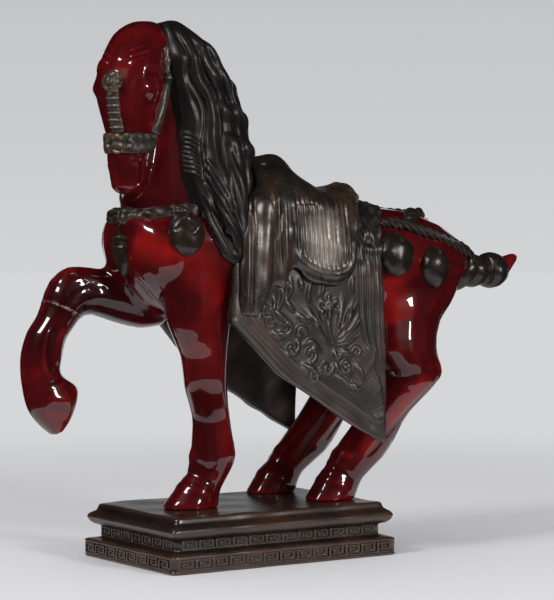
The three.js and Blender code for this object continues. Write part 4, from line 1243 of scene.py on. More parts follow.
@dataclass
class SaddleCloths:
    """The shield-shaped cloth on each flank, with its spray of leaves, its border and its tip.

    Attributes:
        grain: spacing of the vertices.
        hem: the lower edge, front to tip.
        border: the line inside the hem's border.
        rear_lines: the upright lines by the rear edge.
        rubbed_rear: where that edge is rubbed brown.
        flower: middle of the flower.
        spray_foot: the point from which the leaves rise.
        leaves: point and half width of each leaf of the spray.
        sprigs: foot and point of each small leaf about it.
        curls: middle, radius, turns and bearing of each tendril.
        shoots: middles of the leaflets.
    """

    grain: float = 0.9
    hem: Path = ((-40, 172), (-24, 156), (-1, 133), (25, 116), (54, 97), (75, 84), (84, 79))
    border: Path = ((-29, 176), (-14, 161), (9, 140), (37, 122), (63, 106), (78, 95))
    rear_lines: tuple[Path, ...] = (
        ((67, 246), (66, 205), (66, 168), (71, 146)),
        ((73, 246), (72, 200), (72, 165), (77, 142)),
        ((79, 246), (79, 200), (79, 160), (81, 135)),
    )
    rubbed_rear: Path = ((76, 225), (77, 190), (78, 150))
    flower: Point = (38.0, 180.0)
    spray_foot: Point = (41.0, 153.0)
    leaves: tuple[tuple[Point, float], ...] = (
        ((13, 186), 4.0), ((63, 186), 4.2), ((67, 174), 3.6), ((20, 170), 3.4), ((64, 161), 3.0),
        ((25, 190), 3.2), ((52, 193), 3.2))
    sprigs: tuple[tuple[Point, Point], ...] = (
        ((30, 163), (22, 177)), ((50, 165), (58, 181)), ((24, 170), (8, 177)), ((12, 176), (-1, 188)),
        ((6, 170), (-12, 182)), ((8, 190), (0, 203)), ((16, 190), (13, 203)), ((-8, 178), (-21, 186)),
        ((44, 150), (60, 147)), ((34, 148), (17, 158)), ((36, 142), (24, 131)), ((46, 142), (59, 130)),
        ((26, 136), (12, 140)), ((52, 126), (66, 122)), ((12, 150), (-4, 150)), ((2, 160), (-14, 165)))
    curls: tuple[tuple[Point, float, float, float], ...] = (
        ((1, 167), 6.5, 1.0, 200), ((6, 152), 6.0, -1.0, 60), ((21, 147), 6.0, 1.0, 250),
        ((50, 138), 7.0, 1.0, 160), ((35, 137), 5.5, -1.0, 30), ((61, 147), 4.5, -1.0, 200),
        ((13, 162), 5.0, 1.0, 330), ((-12, 172), 5.0, -1.0, 330), ((24, 130), 4.5, 1.0, 90))
    shoots: tuple[Path, ...] = (
        ((-2, 197), (-1, 187), (-5, 177)), ((6, 203), (6, 193), (1, 183)),
        ((-9, 190), (-8, 182), (-12, 176)), ((-20, 184), (-17, 178), (-19, 171)),
        ((30, 150), (22, 156), (14, 152)), ((41, 150), (44, 143), (50, 147)),
        ((12, 141), (22, 137), (30, 128)), ((40, 131), (48, 128), (58, 120)),
        ((58, 139), (64, 133), (66, 124)), ((24, 200), (20, 190), (22, 182)),
        ((34, 200), (33, 192), (30, 186)), ((60, 202), (58, 194), (60, 188)))

    def build(self) -> None:
        """Builds both cloths."""
        for flank in Flank:
            node = f"saddle_cloth_{flank.side}"
            clay = Clay(node + "_relief", [node], self.grain).settle(6, shrink=True)
            behind = ease(clay.points[:, 2], 236, 246) * ease(clay.points[:, 0], 60, 72)
            clay.settle(60, behind, shrink=True).hand(0.5, 20.0)
            bunched = ease(clay.points[:, 0], 62, 70) * ease(clay.points[:, 2], 196, 216)
            clay.hand(1.3, 8.0, bunched)
            board = flank.board()
            clay.draw(board, self.edges() + self.spray() + self.scrolls() + self.tip())
            flat = board.place(clay.points)
            worn = stroke_height(Stroke(moved(self.hem, 4, 6), 9, 0.5, fade=0), flat)
            worn += stroke_height(Stroke(self.rubbed_rear, 9, 0.35, fade=0.3), flat)
            clay.mark("rust", worn).finish(CLOTH_SLIP)

    def edges(self) -> list[Stroke]:
        """Returns the rolled hem, the border line and the upright lines by the rear edge."""
        strokes = [
            Stroke(self.hem, 2.6, 1.0, fade=0),
            Stroke(moved(self.border, -1.5, -3.5), 4.0, -0.8, fade=0.05),
            Stroke(self.border, 1.7, 0.9, fade=0.05),
        ]
        for line in self.rear_lines:
            strokes.append(Stroke(line, 1.3, -0.7, fade=0.1))
            strokes.append(Stroke(moved(line, 1.7, 0), 1.2, 0.5, fade=0.1))
        return strokes

    def leaf(self, foot: Point, tip: Point, sag: float, breadth: float) -> list[Stroke]:
        """Returns a curved leaf with a rib and two veins.

        Args:
            foot: where it rises.
            tip: its point.
            sag: how far its middle hangs.
            breadth: its half width.

        Returns:
            The strokes.
        """
        middle = ((foot[0] + tip[0]) / 2, (foot[1] + tip[1]) / 2 - sag)
        path = (foot, middle, tip)
        return [
            Stroke(path, breadth, 2.3, fade=0.5),
            Stroke(path, 0.9, -1.1, Tool.KNIFE, 0.25),
            Stroke(moved(path, 1.5, 0.6), 0.8, -0.5, Tool.KNIFE, 0.4),
            Stroke(moved(path, -1.5, -0.6), 0.8, -0.5, Tool.KNIFE, 0.4),
        ]

    def spray(self) -> list[Stroke]:
        """Returns the flower, its stem and the leaves that fan out from its foot."""
        x, z = self.flower
        strokes = [Stroke([self.spray_foot, (37.5, 166), (x, z)], 1.6, 1.2, Tool.KNIFE, 0.05)]
        for k in range(6):
            angle = math.radians(30 + 60 * k)
            tip = (x + 7 * math.cos(angle), z + 6.5 * math.sin(angle))
            near = (x + 3 * math.cos(angle), z + 3 * math.sin(angle))
            strokes.append(Stroke([near, tip], 3.0, 1.5, fade=0))
            strokes.append(Stroke([near, tip], 0.8, -0.8, Tool.KNIFE, 0))
        strokes.append(Stroke([(x, z), (x + 0.1, z)], 2.2, 1.2, fade=0))
        for tip, breadth in self.leaves:
            strokes += self.leaf(self.spray_foot, tip, 2.5, breadth)
        for foot, tip in self.sprigs:
            strokes += self.leaf(foot, tip, 1.8, 3.0)
        return strokes

    def scrolls(self) -> list[Stroke]:
        """Returns the curling tendrils and leaflets round the spray."""
        strokes = []
        for curl in self.curls:
            path = spiral(*curl)
            strokes.append(Stroke(path, 2.2, 1.8, fade=0.15))
            strokes.append(Stroke(path[:8], 0.8, -0.7, Tool.KNIFE))
        return strokes + [Stroke(shoot, 2.4, 1.5, fade=0.4) for shoot in self.shoots]

    def tip(self) -> list[Stroke]:
        """Returns the fine wavy lines that run down to the point."""
        rear = ((70, 156), (76, 146), (77, 136), (81, 126), (81, 115), (84, 105), (84, 94))
        front = ((44, 128), (50, 125), (55, 118), (61, 114), (66, 107), (72, 103), (79, 95))
        wavy = []
        for k, path in enumerate((rear, front)):
            wavy.append([(u + 1.1 * math.sin(1.9 * n + k), v) for n, (u, v) in enumerate(path)])
        return fan(wavy, 13, 1.15, 1.1)


@dataclass
class Saddle:
    """Rolled folds, pommel, dished seat, cantle and fluted skirts, thrown in one soft form.

    Attributes:
        coarse: spacing of the vertices while the form is rounded.
        swell: growth of the solids, which the rounding takes back.
        plugs: lumps that close the gap between each fold and the pommel.
        solids: the solids that fuse.
        valley: groove down each fold.
        crest: the fold's rounded crest.
        pommel_lines: lines down the pommel's band with their heights, on a board to the camera.
        cantle_roll: top of the cantle's roll, on that board.
        flutes: where the skirt's ridges stand on that board, and how high each is.
        rim: the skirt's thick lower edge, on that board.
        top: height at which the flutes start.
        run_out: how far above the rim they end.
        pommel_rise: heights between which the pommel's rounding begins.
        pommel_end: places along X between which it ends, towards the head.
        shoulder: heights between which the saddle's top begins.
        polish: where the skirt is rubbed glossier and painted lighter; the lighter colour is a painted
            highlight.
    """

    coarse: float = 2.1
    swell: float = 2.0
    plugs: tuple[Spot, ...] = ((-6, -19, 275.5), (-6, 19, 275.5))
    solids: tuple[str, ...] = (
        "front_fold_left", "front_fold_right", "pommel", "saddle_seat", "cantle",
        "saddle_skirt_left", "saddle_skirt_right")
    valley: Path = ((-22, 262), (-25, 246), (-27.5, 224), (-28.5, 200), (-29.5, 174))
    crest: Path = ((-2, 268), (-10, 250), (-15, 228), (-17, 204), (-19, 182))
    pommel_lines: tuple[tuple[Path, float], ...] = (
        (((22, 268), (24.5, 250), (25.0, 228), (26, 208)), 1.1),
        (((27, 268), (28.5, 250), (29.0, 228), (30.0, 204)), -1.3),
        (((31, 264), (32.5, 246), (33.0, 226), (34.0, 206)), 1.1))
    cantle_roll: Path = ((56, 263), (64, 266), (72, 267), (79, 263), (84, 254))
    flutes: Path = (
        (40.0, 0.6), (43.5, 1.1), (47.5, 0.7), (50.8, 1.2), (54.3, 0.8), (57.4, 1.4), (60.6, 0.9),
        (64.2, 1.5), (67.4, 0.8), (70.6, 1.4), (74.6, 1.0), (78.0, 1.1))
    rim: Path = ((37.5, 240), (38.5, 226), (43.0, 214), (53.5, 206.0), (67, 202.5), (77, 206),
                 (81.5, 214), (83.2, 228), (83.5, 244))
    top: float = 258.0
    run_out: float = 1.5
    pommel_rise: Point = (252.0, 262.0)
    pommel_end: Point = (-26.0, -14.0)
    shoulder: Point = (246.0, 258.0)
    # The skirt's patch: glossier, and painted lighter as a highlight.
    polish: Stroke = Stroke([(60, 234), (61, 219)], 21, 0.42, fade=0)

    def build(self) -> None:
        """Fuses and rounds the solids, then presses the folds, the lines and the flutes."""
        clay = Clay("saddle", self.solids, self.coarse, self.swell, self.plugs).largest()
        clay.settle(9, shrink=True)
        pommel = ease(clay.points[:, 2], *self.pommel_rise)
        pommel *= ease(-clay.points[:, 0], *self.pommel_end)
        clay.settle(110, pommel, shrink=True)
        high = ease(clay.points[:, 2], *self.shoulder)
        clay.settle(25, high, shrink=True)
        clay.lift(-self.swell * 0.55 * (1 - high)).lift(1.4 * high * (clay.normals[:, 2] > 0.2))
        clay.refine(lambda centres: np.ones(len(centres), bool)).settle(3, shrink=True)
        clay.refine(self.on_skirt).settle(2)
        clay.hand(0.4, 18.0)
        burnish_and_painted_highlight, worn = np.zeros(len(clay.points)), np.zeros(len(clay.points))
        for flank in Flank:
            side, front = flank.board(), flank.board(VIEW_TURN)
            clay.draw(side, [
                Stroke(self.valley, 3.2, -2.4, fade=0.2),
                Stroke(self.crest, 7.5, 2.2, fade=0.2),
            ])
            clay.draw(front, [
                Stroke(path, 1.8, height, fade=0.25) for path, height in self.pommel_lines
            ] + [Stroke(self.cantle_roll, 9.0, 2.4, fade=0.25)])
            clay.draw(front, self.ridges() + [Stroke(self.rim, 4.5, 1.3, fade=0.06)])
            flat = front.place(clay.points)
            # The skirt's patch is made glossier and painted lighter; the lighter colour is a painted
            # highlight.
            burnish_and_painted_highlight += stroke_height(self.polish, flat) * front.facing(clay.normals)
            for path in (self.crest, self.valley):
                worn += stroke_height(Stroke(path, 6, 0.3), side.place(clay.points))
            for path in (self.pommel_lines[0][0], self.pommel_lines[2][0], self.cantle_roll):
                worn += stroke_height(Stroke(path, 4, 0.45), flat)
        clay.mark("bloom", burnish_and_painted_highlight).mark("rust", worn).finish(SADDLE_SLIP)

    def on_skirt(self, centres: np.ndarray) -> np.ndarray:
        """Returns which points lie on a skirt."""
        side, height = np.abs(centres[:, 1]), centres[:, 2]
        return (side > 34) & (height > 192) & (height < 258) & (centres[:, 0] > 2)

    def ridges(self) -> list[Stroke]:
        """Returns the flutes, which fade out above the rim."""
        ridges = []
        for place, rise in self.flutes:
            foot = float(np.interp(place, *zip(*self.rim))) + self.run_out
            lean = (self.top - foot) * 0.06
            path = [(place - lean, self.top), (place - lean / 3, (self.top + foot) / 2), (place, foot)]
            ridges.append(Stroke(path, 1.8, 1.45 * rise, fade=0.2))
        return ridges


@dataclass
class BreastHarness:
    """Breast strap, its bosses, its bells and the leaf that hangs in the middle.

    Attributes:
        grain: spacing of the vertices of the strap and the bells.
        boss_grain: the same for the bosses.
        leaf_grain: the same for the leaf.
        strap_swell: growth of the strap.
        boss_swell: growth of the bosses.
    """

    grain: float = 0.6
    boss_grain: float = 0.45
    leaf_grain: float = 0.55
    strap_swell: float = 1.4
    boss_swell: float = 0.6

    def build(self) -> None:
        """Builds the strap and everything that hangs from it."""
        strap = Clay("breast_strap_band", ["breast_strap"], self.grain).settle(8, shrink=True)
        strap.lift(self.strap_swell).hand(0.8, 7.0).finish(HARNESS_SLIP)
        for name in ("breast_boss_left", "breast_boss_middle", "breast_boss_right"):
            boss = Clay(name + "_cast", [name], self.boss_grain).settle(6, shrink=True)
            boss.lift(self.boss_swell).hand(0.7, 4.0).finish(HARNESS_SLIP)
        leaf = Clay("breast_leaf_cast", ["breast_leaf"], self.leaf_grain).settle(8, shrink=True)
        board = Flank.NEAR.board(VIEW_TURN)
        x, z = leaf.middle(board)
        leaf.draw(board, [
            Stroke([(x - 9, z + 8), (x, z + 6), (x + 9, z + 8)], 1.4, -0.9),
            Stroke([(x - 6, z + 10.5), (x, z + 11.5), (x + 6, z + 10.5)], 2.6, 1.4),
        ])
        leaf.finish(BELL_SLIP)
        for flank in Flank:
            node = f"breast_bell_{flank.side}"
            dress_bell(Clay(node + "_cast", [node], self.grain), flank.board(VIEW_TURN), True)


def dress_bell(bell: Clay, board: Board, curl: bool) -> None:
    """Rounds a bell, raises its cap and dresses it.

    Args:
        bell: the bell's clay.
        board: a board that faces it.
        curl: whether a curling ridge crosses it.
    """
    bell.settle(22, shrink=True).lift(0.5).hand(0.35, 12.0)
    u, v = bell.middle(board)
    cap = [Stroke([(u + 0.1, v + 13.5), (u, v + 12.5)], 3.8, 1.2, fade=0)]
    ridge = [
        Stroke([(u - 8, v + 7), (u - 2, v + 11), (u + 5, v + 9), (u + 7, v + 3), (u + 2, v)], 2.4, 1.2,
               fade=0.3),
        Stroke([(u - 9, v + 2.5), (u - 3, v + 6.5), (u + 2, v + 4.5), (u + 3, v + 1)], 1.7, -0.8,
               fade=0.2),
        Stroke([(u + 8.5, v + 5), (u + 8.6, v + 5)], 3.0, 1.0, fade=0),
    ]
    bell.draw(board, cap + (ridge if curl else []))
    bell.finish(BELL_SLIP)


@dataclass
class RumpBells:
    """The three round bells on each side of the rump.

    Attributes:
        grain: spacing of the vertices.
        turn: how far back the bells face, in degrees from straight out.
        places: the bells of one side.
    """

    grain: float = 0.6
    turn: float = -10.0
    places: tuple[str, ...] = ("front", "middle", "rear")

    def build(self) -> None:
        """Builds the six bells."""
        for flank in Flank:
            for place in self.places:
                node = f"rump_bell_{place}_{flank.side}"
                bell = Clay(node + "_cast", [node], self.grain)
                dress_bell(bell, flank.board(self.turn), False)


@dataclass
class Crupper:
    """The twisted straps over the croup, with their knob and beads.

    Attributes:
        grain: spacing of the vertices.
        swell: growth of each strap.
        twist: length of one turn of the rope.
        slope: how much of a side strap's turn runs downward.
        knob_grain: spacing of the knob's vertices.
        beads: middles of the beads on a side strap.
    """

    grain: float = 0.55
    swell: float = 0.9
    twist: float = 4.6
    slope: float = 0.9
    knob_grain: float = 0.5
    beads: Path = ((92, 238.5), (97.5, 238), (108, 235), (127, 227), (146, 217), (160, 208))

    def build(self) -> None:
        """Builds the four straps and the knob."""
        for flank in Flank:
            strap = self.strap(f"crupper_side_strap_{flank.side}", (1, 0, self.slope), 0.75)
            strap.draw(flank.board(), [Stroke([(u, v), (u + 0.4, v)], 3.4, 1.6, fade=0)
                                       for u, v in self.beads])
            strap.finish(CORD_SLIP)
        self.strap("crupper_spine_strap", (1, 0, 0), 0.7).finish(CORD_SLIP)
        self.strap("crupper_cross_strap", (0, 1, 0), 0.7).finish(CORD_SLIP)
        knob = Clay("crupper_knob_cast", ["crupper_knob"], self.knob_grain).settle(10, shrink=True)
        knob.hand(0.6, 5.0).finish(HARNESS_SLIP)

    def strap(self, node: str, way: Spot, rise: float) -> Clay:
        """Twists one strap like a rope.

        Args:
            node: the strap's solid.
            way: direction in which the turns follow each other.
            rise: height of a turn.

        Returns:
            The strap's clay.
        """
        strap = Clay(node + "_rope", [node], self.grain, self.swell).settle(8, shrink=True)
        run = sum(share * strap.points[:, axis] for axis, share in enumerate(way) if share)
        return strap.lift(rise * np.cos(2 * math.pi * run / self.twist))


@dataclass
class TailBinding:
    """The knotted binding round the tail.

    Attributes:
        grain: spacing of the vertices.
        swell: growth of the binding.
    """

    grain: float = 0.6
    swell: float = 0.5

    def build(self) -> None:
        """Winds the binding's turns and dresses it."""
        clay = Clay("tail_binding", ["tail_wrap"], self.grain, self.swell).settle(26, shrink=True)
        for flank in Flank:
            clay.draw(flank.board(), [
                Stroke([(213, 201), (213.1, 200)], 9, 1.6, fade=0),
                Stroke([(229, 199), (229.1, 198)], 9, 1.8, fade=0),
                Stroke([(221, 213), (221, 188)], 2.0, -1.3),
            ])
        clay.finish(BELL_SLIP)


@dataclass
class Bridle:
    """Noseband, ribbed face strap, forehead plaque, cheek straps and rosettes.

    Attributes:
        grain: spacing of the vertices.
        rib_pitch: distance between the face strap's ribs.
        rib_origin: height of one of them.
        rib_rise: their height.
        reed_pitch: distance between the noseband's reeds.
        strap_top: height at which the face strap sinks under the plaque.
        strap_sink: how deep its top sinks.
        plaque_swell: growth of the plaque.
        band_swell: growth of a cheek strap.
        bead_swell: growth of a rosette.
        bead_grain: spacing of a rosette's vertices.
        cheek_route: the groove down a cheek strap.
    """

    grain: float = 0.42
    rib_origin: float = 300.0
    rib_rise: float = 0.9
    rib_pitch: float = 4.9
    reed_pitch: float = 2.1
    strap_top: float = 341.0
    strap_sink: float = 5.0
    plaque_swell: float = 0.8
    band_swell: float = 1.6
    bead_swell: float = 0.9
    bead_grain: float = 0.35
    cheek_route: Path = ((-4, 301), (-6, 307), (-8, 314), (-11, 322), (-13, 331), (-13, 340),
                         (-13, 350), (-14, 358))

    def build(self) -> None:
        """Builds the bridle's seven pieces."""
        face = head_board(0)
        self.build_noseband(face)
        self.build_face_strap(face)
        self.build_plaque(face)
        for side, quarter in (("left", 1), ("right", -1)):
            self.build_cheek(side, head_board(quarter))

    def build_noseband(self, face: Board) -> None:
        """Reeds the noseband's sides and rolls the knot in front."""
        noseband = Clay("noseband_band", ["noseband"], self.grain).settle(8, shrink=True)
        cheek = head_board(1)
        reed = np.cos(2 * math.pi * cheek.place(noseband.points)[:, 0] / self.reed_pitch)
        noseband.lift(0.22 * reed * (1 - face.facing(noseband.normals)))
        noseband.draw(face, [
            Stroke([(-4.5, 297), (0, 299), (4.5, 297)], 2.2, 1.2),
            Stroke([(-3, 293), (3, 292)], 4.2, 1.3, fade=0),
            Stroke([(-5, 289.5), (0, 287.5), (5, 289.5)], 1.6, 0.9),
            Stroke([(7, 297), (10, 294), (8, 290)], 2.0, 0.9),
            Stroke([(-7, 297), (-10, 294), (-8, 290)], 2.0, 0.9),
        ])
        noseband.hand(0.3, 6.0).settle(3)
        front = ease(-face.place(noseband.points)[:, 0], -14, -2)
        noseband.mark("bloom", 0.2 * front - 0.12).finish(GILT_SLIP)

    def build_face_strap(self, face: Board) -> None:
        """Ribs the face strap and sinks its top under the plaque."""
        strap = Clay("face_strap_ribs", ["face_strap"], self.grain).settle(6, shrink=True)
        phase = np.cos(2 * math.pi * (strap.points[:, 2] - self.rib_origin) / self.rib_pitch)
        ribs = self.rib_rise * np.clip(phase, 0, 1) ** 5
        above = ease(strap.points[:, 2], self.strap_top - 2, self.strap_top + 3)
        strap.points += np.array(face.out) * (-self.strap_sink * above)[:, None]
        strap.write()
        strap.lift(ribs * face.facing(strap.normals) * (1 - above)).finish(FACE_STRAP_SLIP)

    def build_plaque(self, face: Board) -> None:
        """Curls the plaque's leaf."""
        plaque = Clay("forehead_plaque_leaf", ["forehead_plaque"], self.grain).settle(6, shrink=True)
        plaque.lift(self.plaque_swell)
        u, v = plaque.middle(face)
        plaque.draw(face, [
            Stroke([(u - 4, v + 7), (u - 5, v), (u, v - 5), (u + 5, v), (u + 4, v + 6), (u, v + 7)],
                   2.4, 0.9, fade=0.1),
            Stroke([(u, v + 2), (u, v + 0.1)], 3.4, 1.2, fade=0),
            Stroke([(u - 4, v - 9), (u, v - 11), (u + 4, v - 9)], 2.0, 0.8),
        ])
        plaque.finish(GILT_SLIP)

    def build_cheek(self, side: str, cheek: Board) -> None:
        """Builds one cheek strap and its rosette.

        Args:
            side: the word for the side in the solids' names.
            cheek: a board that faces that cheek.
        """
        node = f"cheek_strap_{side}"
        band = Clay(node + "_band", [node], self.grain).settle(8, shrink=True)
        band.lift(self.band_swell).hand(0.35, 7.0)
        band.draw(cheek, [Stroke(self.cheek_route, 1.2, -0.7)]).finish(CHEEK_SLIP)
        node = f"cheek_rosette_{side}"
        bead = Clay(node + "_cast", [node], self.bead_grain).settle(8, shrink=True)
        bead.lift(self.bead_swell).finish(BEAD_SLIP)


KEY_UNIT = (
    "11111110",
    "10000010",
    "10111010",
    "10100010",
    "10111110",
    "10000000",
    "11111111",
)


@dataclass(frozen=True)
class KeyBand:
    """A band of key pattern round the plinth.

    Attributes:
        name: name of the piece.
        low: height of the band's lower edge.
        high: height of its upper edge.
        inset: how far the face behind it stands in from the plinth's edge.
        units: number of keys on the long side.
    """

    name: str
    low: float
    high: float
    inset: float
    units: int


@dataclass
class Plinth:
    """The stepped plinth and its two bands of key pattern.

    Attributes:
        grain: spacing of the base's vertices.
        length: size of the foot along X.
        width: size of the foot along Y.
        line: width of a raised line.
        proud: how far the lines stand out.
        sunk: how far they reach into the plinth.
        corner: plain length at each end of a side.
        line_share: height of a line, as a share of a row and the space after it.
        gap_share: height of a space, as a share of the same.
        line_tone: the finish's reading of a line, from hollow to ridge.
        ground_tone: its reading of the ground between the lines.
        bands: the two bands.
        recesses: the sunk grounds that the bands lie in.
    """

    grain: float = 1.2
    length: float = 190.0
    width: float = 124.0
    line: float = 1.25
    proud: float = 0.55
    sunk: float = 0.9
    corner: float = 4.0
    line_share: float = 0.42
    gap_share: float = 0.58
    line_tone: float = 0.66
    ground_tone: float = 0.3
    bands: tuple[KeyBand, ...] = (
        KeyBand("waist_key_band", 14.9, 21.7, 8.7, 12),
        KeyBand("foot_key_band", 2.6, 10.0, 0.35, 13),
    )
    recesses: tuple[Stroke, ...] = (
        Stroke([(-100, 18.3), (100, 18.3)], 5.2, -1.3, Tool.FLAT, 0),
        Stroke([(-100, 6.3), (100, 6.3)], 5.4, -0.9, Tool.FLAT, 0),
    )

    def build(self) -> None:
        """Builds the base, softened and uneven as pressed clay is, and its bands."""
        clay = Clay("plinth_base", ["plinth"], self.grain).settle(3, shrink=True)
        for across, out in (((1, 0, 0), (0, 1, 0)), ((0, 1, 0), (1, 0, 0))):
            for way in (1, -1):
                side = Board(across=across, out=tuple(way * v for v in out))
                clay.draw(side, self.recesses)
        clay.hand(0.35, 30.0).finish(PLINTH_SLIP)
        for band in self.bands:
            self.press(band)

    def press(self, band: KeyBand) -> None:
        """Makes one band of raised key pattern round all four sides, unevenly worn."""
        work = bmesh.new()
        level = work.verts.layers.float.new("ridge")
        half = np.array([self.length / 2 - band.inset, self.width / 2 - band.inset])
        for side in range(4):
            run = half[side % 2] * 2 - 2 * self.corner
            units = max(1, round(band.units * half[side % 2] / half[0]))
            strip = self.strip(band, run, units)
            for vert in strip.verts:
                u, z, out = vert.co
                worn = 0.72 + 0.28 * math.sin(u / 9.0 + side * 2) * math.sin(z / 3.0 + u / 21.0)
                distance = half[(side + 1) % 2] + (out * worn if out > 0 else out)
                turn = (Vector((u, -distance, z)), Vector((distance, u, z)),
                        Vector((-u, distance, z)), Vector((-distance, -u, z)))[side]
                vert.co = (turn + Vector(CENTRE)) * MM
            mesh = bpy.data.meshes.new("strip")
            strip.to_mesh(mesh)
            strip.free()
            work.from_mesh(mesh)
            bpy.data.meshes.remove(mesh)
        bmesh.ops.recalc_face_normals(work, faces=work.faces)
        mesh = bpy.data.meshes.new(band.name)
        for vert in work.verts:
            vert[level] = self.line_tone if vert[level] > 0 else self.ground_tone
        work.to_mesh(mesh)
        work.free()
        place_piece(band.name, mesh, (), PLINTH_SLIP)

    def strip(self, band: KeyBand, run: float, units: int) -> bmesh.types.BMesh:
        """Makes one side's key pattern, flat: X along it, Y up it and Z out of it."""
        columns, rows = len(KEY_UNIT[0]) * units, len(KEY_UNIT)
        pitch = run / units
        gap = pitch * 2 / len(KEY_UNIT[0]) - self.line
        across = [0.0]
        for k in range(columns):
            across.append(across[-1] + (self.line if k % 2 == 0 else gap))
        tall = (band.high - band.low) / (4 * self.line_share + 3 * self.gap_share)
        up = [band.low]
        for k in range(rows):
            up.append(up[-1] + tall * (self.line_share if k % 2 == 0 else self.gap_share))
        strip = bmesh.new()
        level = strip.verts.layers.float.new("ridge")
        bmesh.ops.create_grid(strip, x_segments=columns, y_segments=rows, size=1.0)
        for vert in strip.verts:
            column = round((vert.co.x + 1) / 2 * columns)
            row = round((vert.co.y + 1) / 2 * rows)
            vert.co = Vector((across[column] - run / 2, up[row], 0))
        blank = []
        for face in strip.faces:
            centre = face.calc_center_median()
            column = int(np.searchsorted(across, centre.x + run / 2)) - 1
            row = rows - int(np.searchsorted(up, centre.y))
            if KEY_UNIT[row][column % len(KEY_UNIT[0])] == "0":
                blank.append(face)
        bmesh.ops.delete(strip, geom=blank, context="FACES")
        for vert in strip.verts:
            vert.co.z = -self.sunk
        raised = bmesh.ops.extrude_face_region(strip, geom=strip.faces[:])["geom"]
        tops = [v for v in raised if isinstance(v, bmesh.types.BMVert)]
        bmesh.ops.translate(strip, verts=tops, vec=(0, 0, self.proud + self.sunk))
        for vert in tops:
            vert[level] = 1.0
        rims = [e for e in strip.edges
                if e.verts[0].co.z > 0 and e.verts[1].co.z > 0 and e.calc_face_angle(0) > 0.5]
        bmesh.ops.bevel(strip, geom=rims, offset=0.2, segments=1, profile=0.5, affect="EDGES",
                        material=-1)
        return strip


def bearing(azimuth: float, elevation: float, distance: float) -> Vector:
    """Returns a place about the figure.

    Args:
        azimuth: degrees from the near side, positive towards the tail.
        elevation: degrees above the table.
        distance: metres from the middle of the table.

    Returns:
        The place, in metres.
    """
    a, e = math.radians(azimuth), math.radians(elevation)
    return Vector((math.sin(a) * math.cos(e), -math.cos(a) * math.cos(e), math.sin(e))) * distance


@dataclass(frozen=True)
class Softbox:
    """A rectangular lamp that faces the figure.

    Attributes:
        name: the lamp's name.
        azimuth: its bearing in degrees from the near side.
        elevation: degrees above the table.
        distance: metres from the middle of the table.
        size: width and height in metres.
        power: watts.
    """

    name: str
    azimuth: float
    elevation: float
    distance: float
    size: Point
    power: float


